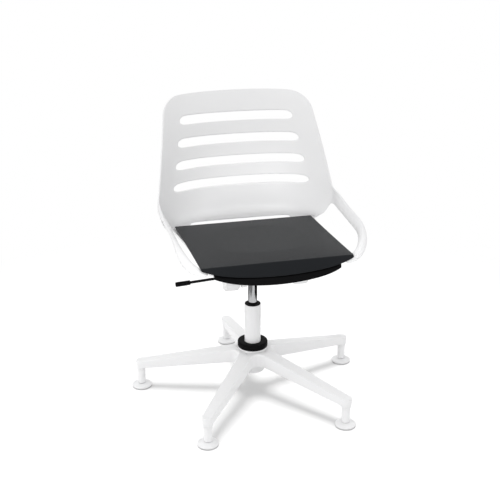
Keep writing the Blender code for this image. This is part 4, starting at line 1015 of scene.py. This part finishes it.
def arm_station(base, station):
    """Half of an arm along X: a place on its outline, the way out there, and one inside it."""
    half_turn = math.pi / ARM_COUNT
    tip = base.arm_width_tip / 2
    taper = math.atan((base.arm_width_hub / 2 - tip) / (base.foot_circle - base.hub_radius))
    root = tip / math.cos(taper) + base.foot_circle * math.tan(taper)
    reach = (base.web_radius / math.cos(taper) + root) / (
        math.sin(half_turn) + math.cos(half_turn) * math.tan(taper))
    centre = Vector((reach * math.cos(half_turn), reach * math.sin(half_turn)))
    side = Vector((math.sin(taper), math.cos(taper)))
    inner = base.hub_radius - HUB_OVERLAP
    web_end = centre - side * base.web_radius
    foot = Vector((base.foot_circle, 0.0))
    if station <= 1:
        angle = half_turn + math.pi + station * (math.pi / 2 - half_turn - taper)
        way = -Vector((math.cos(angle), math.sin(angle)))
        swing = half_turn * (1 - station)
        return centre - way * base.web_radius, way, Vector((inner * math.cos(swing), inner * math.sin(swing)))
    if station <= 2:
        share = station - 1
        return (web_end.lerp(foot + side * tip, share), side,
                Vector((blend(inner, base.foot_circle, share ** SPINE_EASE), 0.0)))
    angle = (math.pi / 2 - taper) * (3 - station)
    way = Vector((math.cos(angle), math.sin(angle)))
    return foot + way * tip, way, Vector((base.foot_circle + (station - 2) * tip * SPINE_TIP, 0.0))


def arm_levels(base, place):
    """Heights of an arm's top and underside at a place in plan."""
    share = (place.length - base.hub_radius) / (base.foot_circle - base.hub_radius)
    share = min(max(share, 0.0), 1.0)
    top = blend(base.arm_top_hub, base.arm_top_tip, share)
    return top, top - blend(base.arm_depth_hub, base.arm_depth_tip, share)


def build_star(base):
    """Half an arm, mirrored, turned five times, and the hub in the middle."""
    bm, numbers = grid(len(ARM_STATIONS), len(ARM_SECTION))
    for vert in bm.verts:
        column, row = numbers[vert]
        edge, way, inside = arm_station(base, ARM_STATIONS[column])
        share, inset, level, drop = ARM_SECTION[row]
        if share < 1:
            inset = ARM_SECTION[2][1] if level > 0 else ARM_SECTION[-3][1]
        place = inside.lerp(edge - way * inset, share)
        top, low = arm_levels(base, place)
        vert.co = (*place, top - drop if level > 0 else low + drop)
    bmesh.ops.mirror(bm, geom=everything(bm), matrix=Matrix(), merge_dist=MERGE, axis="Y")
    bmesh.ops.rotate(bm, verts=bm.verts, cent=(0, 0, 0), matrix=Matrix.Rotation(arm_angle(0), 3, "Z"))
    step = 2 * math.pi / ARM_COUNT
    bmesh.ops.spin(bm, geom=everything(bm), cent=(0, 0, 0), axis=(0, 0, 1), angle=step * (ARM_COUNT - 1),
                   steps=ARM_COUNT - 1, use_duplicate=True)
    bmesh.ops.remove_doubles(bm, verts=bm.verts, dist=MERGE)
    bmesh.ops.bridge_loops(bm, edges=[e for e in bm.edges if e.is_boundary])
    close_up(bm)
    return bm


class CHAIR_OT_base(bpy.types.Operator):
    """Build the five-arm base with its hub"""
    bl_idname = "chair.base"
    bl_label = "Base"

    def execute(self, context):
        base = context.scene.chair_base
        lift = context.scene.chair_lift
        star = add_piece("cast_star", build_star(base), "base", SLOTS["base_star"], ["base_star"])
        subdivide(star, 2)
        bm = bmesh.new()
        bore = lift.tube_radius + FIT
        turn(bm, [(bore, base.hub_top), (base.hub_radius, base.hub_top),
                  (base.hub_radius, base.hub_bottom + base.hub_cone), (base.hub_foot_radius, base.hub_bottom),
                  (bore, base.hub_bottom)], *TURNED["hub"], True)
        wide = base.stem_radius + base.stem_flare
        high = base.tip_seat + SEAT_BLOCK
        for index in range(ARM_COUNT):
            turn(bm, [(0.0, high), (wide, high), (wide, base.tip_seat), (0.0, base.tip_seat)],
                 *TURNED["seat"], False, foot_place(base, index))
        close_up(bm)
        add_piece("cast_hub", bm, "base", SLOTS["base_star"])
        return {"FINISHED"}


class CHAIR_OT_glides(bpy.types.Operator):
    """Build the five glides: stems, discs and soles"""
    bl_idname = "chair.glides"
    bl_label = "Glides"

    def execute(self, context):
        base = context.scene.chair_base
        for index in range(ARM_COUNT):
            self.build_glide(base, index)
        return {"FINISHED"}

    def build_glide(self, base, index):
        number = str(index + 1)
        place = foot_place(base, index)
        shoulder = base.tip_seat - FIT
        top = base.foot_bottom + base.foot_height
        rim = base.foot_bottom + base.foot_rim
        shares = [step / FLARE_STEPS for step in range(FLARE_STEPS + 1)]
        flare = [(base.stem_radius + base.stem_flare * (1 - share) ** 2,
                  shoulder - base.stem_flare_height * share) for share in shares]
        neck = [(NECK_RADIUS, base.stem_bottom), (NECK_RADIUS, top - NECK_DEPTH), (0.0, top - NECK_DEPTH)]
        add_turned("stem_" + number, "glide_stem_" + number, "base",
                   [(0.0, shoulder), *flare, (base.stem_radius, base.stem_bottom), *neck], False, place)
        slope = [(blend(base.stem_radius, base.foot_radius, out), blend(top, rim, down))
                 for out, down in DISC_SLOPE]
        add_turned("disc_" + number, "glide_foot_" + number, "foot_" + number,
                   [(0.0, top - DIMPLE_DEPTH), (DIMPLE_RADIUS, top - DIMPLE_DEPTH), (DIMPLE_RIM, top),
                    (base.stem_radius, top), *slope, (base.foot_radius, rim),
                    (base.foot_radius, base.foot_bottom), (0.0, base.foot_bottom)], False, place)
        reach = base.foot_radius - base.sole_inset
        thick = base.foot_bottom - FIT
        add_turned("sole_" + number, "glide_sole_" + number, "foot_" + number,
                   [(0.0, thick), (reach, thick), (reach, 0.0), (0.0, 0.0)], False, place)


# Gas lift and lever

TUBE_TAPER = 0.0013         # loss of radius of the tube inside the hub
BUSH_INSET = 0.0008         # bush inside the tube's edge
GUIDE_PLAY = 0.0004         # gap between the bush and the cylinder
BUTTON_BORE = 0.0044        # hole for the release button
BUTTON_BORE_LENGTH = 0.02
ROD_BORE = 0.0054           # hole for the piston rod
ROD_BORE_LENGTH = 0.006
ROD_RUN_IN = 0.016          # straight part of the lever's rod inside the carrier's wall
ROD_FALL = (0.35, 0.8, 0.95)        # shares of the rod's way from its rise down to that part
ROD_STEPS = 8               # points on each half of that way
ROD_RUN = (0.33, 0.66)      # shares of its way from the pivot to the grip
ROD_SIDES = 20
GRIP_ENDS = (0.93, 0.94)    # narrowing of the grip's outer and inner end
GRIP_END_LENGTHS = (0.004, 0.010)


class CHAIR_OT_column(bpy.types.Operator):
    """Build the collar, the tube, its bush and the chromed cylinder"""
    bl_idname = "chair.column"
    bl_label = "Column"

    def execute(self, context):
        base = context.scene.chair_base
        lift = context.scene.chair_lift
        low = base.hub_top + FIT
        high = low + lift.collar_height
        inside = lift.tube_radius + FIT
        add_turned("collar", "hub_collar", "base", [
            (inside, high), (lift.collar_radius, high), (lift.collar_radius, low), (inside, low)], True)

        bore = lift.tube_radius - lift.tube_wall
        foot = base.hub_bottom + FIT
        add_turned("tube", "column_tube", "base", [
            (bore, lift.tube_top), (lift.tube_radius, lift.tube_top), (lift.tube_radius, base.hub_top),
            (lift.tube_radius - TUBE_TAPER, foot), (bore - TUBE_TAPER, foot), (bore, base.hub_top)], True)

        seat = lift.tube_top + FIT
        rim = lift.tube_radius - BUSH_INSET
        guide = lift.cylinder_radius + GUIDE_PLAY
        add_turned("bush", "guide_bush", "base", [
            (guide, seat + lift.bush_rim), (rim, seat + lift.bush_rim), (rim, seat), (bore - FIT, seat),
            (bore - FIT, seat - lift.bush_length), (guide, seat - lift.bush_length)], True)

        top = lift.cylinder_top
        foot = top - lift.cylinder_length
        tip = lift.cylinder_radius - lift.cylinder_taper
        add_turned("cylinder", "gas_cylinder", "lift", [
            (BUTTON_BORE, top), (tip, top), (lift.cylinder_radius, top - lift.cone_length),
            (lift.cylinder_radius, foot), (ROD_BORE, foot), (ROD_BORE, foot + ROD_BORE_LENGTH),
            (BUTTON_BORE, top - BUTTON_BORE_LENGTH)], True)
        return {"FINISHED"}


def lever_path(lift):
    """From over the button, down through the carrier's wall and straight out to the grip."""
    pivot = Vector(lift.lever_pivot)
    end = Vector(lift.lever_end)
    outward = (end - pivot).normalized()
    press = Vector((0.0, 0.0, lift.press_height))
    seat = end + outward * (lift.grip_seat - lift.grip_length)
    start = press + Vector((0.0, lift.lever_radius, 0.0))
    inner = pivot - outward * ROD_RUN_IN
    rise = Vector((0.0, pivot.y / 3, lift.press_height))
    fall, steep, level = (blend(rise, inner, share) for share in ROD_FALL)
    curve = interpolate_bezier(start, rise, rise, fall, ROD_STEPS)
    curve += interpolate_bezier(fall, steep, level, inner, ROD_STEPS)[1:]
    run = [blend(pivot, seat, share) for share in ROD_RUN]
    return curve + [pivot, *run, seat], outward, end


class CHAIR_OT_lever(bpy.types.Operator):
    """Build the height lever with its grip"""
    bl_idname = "chair.lever"
    bl_label = "Lever"

    def execute(self, context):
        lift = context.scene.chair_lift
        path, outward, end = lever_path(lift)
        bm = sweep(path, lift.lever_radius, ROD_SIDES)
        close_up(bm)
        add_piece("rod", bm, "lever", SLOTS["lever_rod"], ["lever_rod"])

        bm = bmesh.new()
        size = lift.grip_length
        wide = lift.grip_radius
        bore = lift.lever_radius + FIT
        turn(bm, [(0.0, size), (wide * GRIP_ENDS[0], size), (wide, size - GRIP_END_LENGTHS[0]),
                  (wide, GRIP_END_LENGTHS[1]), (wide * GRIP_ENDS[1], 0.0), (bore, 0.0),
                  (bore, lift.grip_seat + FIT), (0.0, lift.grip_seat + FIT)], *TURNED["grip"])
        close_up(bm)
        turn_out = outward.to_track_quat("Z", "Y").to_matrix().to_4x4()
        bmesh.ops.transform(bm, matrix=Matrix.Translation(end - outward * size) @ turn_out, verts=bm.verts)
        add_piece("grip", bm, "lever", SLOTS["lever_grip"], ["lever_grip"])
        return {"FINISHED"}


EDGE_WIDTHS = {"rail": 0.0026, "carrier": 0.0012, "link": 0.0012}
SMALL_EDGE = 0.0004         # edge width of every other piece
FLAT_ANGLE = math.radians(1)
CORNER_ANGLE = math.radians(35)
SMOOTH_ANGLE = math.radians(40)


class CHAIR_OT_mechanism(bpy.types.Operator):
    """Round off and finish the frame's own carrier, rails, links, pins and screws"""
    bl_idname = "chair.mechanism"
    bl_label = "Mechanism"

    def execute(self, context):
        for name, node in frame["nodes"].items():
            if not node.hide_render:
                self.round_off(name, node)
        return {"FINISHED"}

    def round_off(self, name, node):
        bm = bmesh.new()
        bm.from_mesh(node.data)
        bmesh.ops.translate(bm, verts=bm.verts, vec=-AXIS)
        close_up(bm)
        bmesh.ops.dissolve_limit(bm, angle_limit=FLAT_ANGLE, verts=bm.verts, edges=bm.edges)
        sharp = [e for e in bm.edges if len(e.link_faces) == 2 and e.calc_face_angle() > CORNER_ANGLE]
        bmesh.ops.bevel(bm, geom=sharp, offset=EDGE_WIDTHS.get(name.split("_")[0], SMALL_EDGE),
                        offset_type="OFFSET", segments=3, profile=0.5, affect="EDGES", clamp_overlap=True,
                        material=-1)
        piece = add_piece("rounded_" + name, bm, node.parent.name.split(":")[1], SLOTS[name], [name])
        piece.data.set_sharp_from_angle(angle=SMOOTH_ANGLE)


# Stage

CAMERA_PLACE = Vector((-0.6849, -2.5978, 1.4633))
CAMERA_HEADING = Vector((0.2389, 0.9055, -0.3505))
CAMERA_LENS = 67.9
CAMERA_REACH = 50.0         # how far the camera sees
SENSOR_WIDTH = 36.0
FLOOR_HALF = 6.0
FLOOR_DROP = 0.0004         # floor below the soles
SHADOW_WHITE = 0.42         # how white the floor is where it shows the shadows
SHADOW_GLOW = 0.22          # light of its own that it has there
WHITE_START = 0.7           # from this far out it turns plain white
WHITE_END = 1.5             # and from this far out it is plain white
SOFT_LAMPS = (              # name, place, target, size, power
    ("front", (-1.3, -3.0, 0.9), (0.0, 0.0, 0.6), 1.8, 5.6),
    ("side", (-2.4, -0.5, 1.0), (0.0, 0.0, 0.5), 1.4, 8.5))
BACK_LIGHT = {"place": (-0.3, -2.5, 0.56), "target": (0.03, 0.12, 0.36), "spot_size": math.radians(17),
              "spot_blend": 0.3, "shadow_soft_size": 0.1, "energy": 80.0}
FLOOR_LIGHT = {"place": (0.0, 0.0, 3.0), "target": (0.0, 0.0, 0.0), "angle": math.radians(30), "energy": 4.1}
FLAGS = (                   # name, place beside the column, half-width, tone
    ("flag_right", (0.52, -0.30, 0.10), 0.28, 0.002),
    ("flag_right_rear", (0.56, 0.20, 0.10), 0.30, 0.002),
    ("flag_left", (-0.50, -0.35, 0.10), 0.60, 0.40),
    ("flag_left_rear", (-0.42, 0.42, 0.10), 0.42, 0.10))


def seen_ray(finish):
    """One for rays that come from the camera, a mirror or glass."""
    path = finish.node("ShaderNodeLightPath").socket.node
    camera, glossy, through = (Value(finish, path.outputs[name]) for name in (
        "Is Camera Ray", "Is Glossy Ray", "Is Transmission Ray"))
    return camera.math("MAXIMUM", camera.math("MAXIMUM", camera, glossy), through)


def gather(name, objects):
    """Collection that names what a light falls on, or what shades it."""
    group = bpy.data.collections.new(name)
    for obj in objects:
        group.objects.link(obj)
    return group


class CHAIR_OT_stage(bpy.types.Operator):
    """Set up the floor, the soft lights and the camera"""
    bl_idname = "chair.stage"
    bl_label = "Stage"

    def execute(self, context):
        scene = context.scene
        scene.view_settings.view_transform = "Standard"
        self.add_floor(scene)
        self.add_world(scene)
        for name, place, target, size, power in SOFT_LAMPS:
            self.add_lamp(scene, name, "AREA", place, target, shape="DISK", size=size, energy=power)
        self.add_back_light(scene)
        self.add_floor_light(scene)
        for flag in FLAGS:
            self.add_flag(scene, *flag)
        self.add_camera(scene)
        return {"FINISHED"}

    def add_camera(self, scene):
        data = bpy.data.cameras.new("camera")
        data.sensor_fit = "HORIZONTAL"
        data.sensor_width = SENSOR_WIDTH
        data.lens = CAMERA_LENS
        data.clip_end = CAMERA_REACH
        camera = bpy.data.objects.new("camera", data)
        camera.location = CAMERA_PLACE
        camera.rotation_euler = CAMERA_HEADING.to_track_quat("-Z", "Y").to_euler()
        scene.collection.objects.link(camera)
        scene.camera = camera

    def add_board(self, scene, name, half_width, half_height):
        """Flat board of the stage, and the finish that it gets."""
        bm = bmesh.new()
        bmesh.ops.create_grid(bm, x_segments=2, y_segments=2, size=1.0)
        bmesh.ops.scale(bm, verts=bm.verts, vec=(half_width, half_height, 1.0))
        mesh = bpy.data.meshes.new(name)
        bm.to_mesh(mesh)
        bm.free()
        board = bpy.data.objects.new(name, mesh)
        scene.collection.objects.link(board)
        finish = Finish(name)
        mesh.materials.append(finish.material)
        return board, finish

    def add_floor(self, scene):
        """Floor that shows white and the chair's shadow, and that lights the chair as a grey one."""
        floor, finish = self.add_board(scene, "floor", FLOOR_HALF, FLOOR_HALF)
        floor.location.z = -FLOOR_DROP
        plain = shade((1, 1, 1), 1.0)
        matt = finish.node("ShaderNodeBsdfDiffuse", {}, {"Color": shade(scene.chair_colours.floor, 1.0)})
        catcher = finish.node("ShaderNodeBsdfDiffuse", {}, {"Color": shade((1, 1, 1), SHADOW_WHITE)})
        glow = finish.node("ShaderNodeEmission", {}, {"Color": plain, "Strength": SHADOW_GLOW})
        shadowed = finish.node("ShaderNodeAddShader", {}, {0: catcher, 1: glow})
        white = finish.node("ShaderNodeEmission", {}, {"Color": plain, "Strength": 1.0})
        here = finish.node("ShaderNodeTexCoord", output="Object")
        far = finish.node("ShaderNodeVectorMath", {"operation": "LENGTH"}, {0: here}, output="Value")
        edge = finish.node("ShaderNodeMapRange", {"interpolation_type": "SMOOTHSTEP"},
                           {"Value": far, "From Min": WHITE_START, "From Max": WHITE_END})
        shown = finish.node("ShaderNodeMixShader", {}, {0: edge, 1: shadowed, 2: white})
        surface = finish.node("ShaderNodeMixShader", {}, {0: seen_ray(finish), 1: matt, 2: shown})
        finish.tree.links.new(surface.socket, finish.tree.nodes["Material Output"].inputs["Surface"])

    def add_world(self, scene):
        world = bpy.data.worlds.new("studio")
        world.use_nodes = True
        scene.world = world
        light = world.node_tree.nodes["Background"]
        light.inputs["Color"].default_value = (1.0, 1.0, 1.0, 1.0)
        light.inputs["Strength"].default_value = 1.0

    def add_lamp(self, scene, name, kind, place, target, **settings):
        data = bpy.data.lights.new(name, kind)
        for setting, value in settings.items():
            setattr(data, setting, value)
        lamp = bpy.data.objects.new(name, data)
        lamp.location = place
        lamp.rotation_euler = (Vector(target) - Vector(place)).to_track_quat("-Z", "Y").to_euler()
        scene.collection.objects.link(lamp)
        return lamp

    def add_floor_light(self, scene):
        """Soft light from straight above that only the floor takes, and that only the base shades."""
        lamp = self.add_lamp(scene, "floor_light", "SUN", **FLOOR_LIGHT)
        shading = [piece for piece in scene.objects if piece.parent
                   and piece.parent.name.split(":")[-1].split("_")[0] in ("base", "foot")]
        lamp.light_linking.receiver_collection = gather("lit_floor", [scene.objects["floor"]])
        lamp.light_linking.blocker_collection = gather("shading_base", shading)

    def add_back_light(self, scene):
        """Narrow soft light that only the shell takes, and that falls on its back between the loops."""
        lamp = self.add_lamp(scene, "back_light", "SPOT", **BACK_LIGHT)
        lamp.light_linking.receiver_collection = gather("lit_shell", [scene.objects["moulded_shell"]])

    def add_flag(self, scene, name, place, half_width, tone):
        """Upright board beside the column that only mirrors see, for the dark bands in the chrome."""
        flag, finish = self.add_board(scene, name, half_width, place[2])
        flag.location = Vector(place) + AXIS
        flag.rotation_euler = Vector((place[0], place[1], 0.0)).to_track_quat("Z", "Y").to_euler()
        flag.visible_camera = False
        flag.visible_diffuse = False
        flag.visible_shadow = False
        finish.set(Base_Color=shade((1, 1, 1), tone), Roughness=0.9, Specular_IOR_Level=0.0)


# Add-on

GROUPS = {"chair_shell": ShellSizes, "chair_pad": PadSizes, "chair_base": BaseSizes, "chair_lift": LiftSizes,
          "chair_colours": Colours}
OPERATORS = (CHAIR_OT_shell, CHAIR_OT_tray, CHAIR_OT_pad, CHAIR_OT_base, CHAIR_OT_glides, CHAIR_OT_column,
             CHAIR_OT_lever, CHAIR_OT_mechanism, CHAIR_OT_stage)


class CHAIR_PT_panel(bpy.types.Panel):
    """Sizes, colours and steps of the chair"""
    bl_idname = "CHAIR_PT_panel"
    bl_label = "Task chair"
    bl_space_type = "VIEW_3D"
    bl_region_type = "UI"
    bl_category = "Chair"

    def draw(self, context):
        for operator in OPERATORS:
            self.layout.operator(operator.bl_idname)
        for name in GROUPS:
            box = self.layout.box()
            group = getattr(context.scene, name)
            for field in group.__annotations__:
                box.prop(group, field)


def register():
    for name, group in GROUPS.items():
        bpy.utils.register_class(group)
        setattr(bpy.types.Scene, name, PointerProperty(type=group))
    for cls in (*OPERATORS, CHAIR_PT_panel):
        bpy.utils.register_class(cls)


def unregister():
    for cls in reversed((*OPERATORS, CHAIR_PT_panel)):
        bpy.utils.unregister_class(cls)
    for name, group in GROUPS.items():
        delattr(bpy.types.Scene, name)
        bpy.utils.unregister_class(group)


def main():
    register()
    for operator in OPERATORS:
        step = getattr(bpy.ops.chair, operator.bl_idname.split(".")[1])
        if step() != {"FINISHED"}:
            raise RuntimeError(operator.bl_idname + " did not finish")


if __name__ == "__main__":
    main()
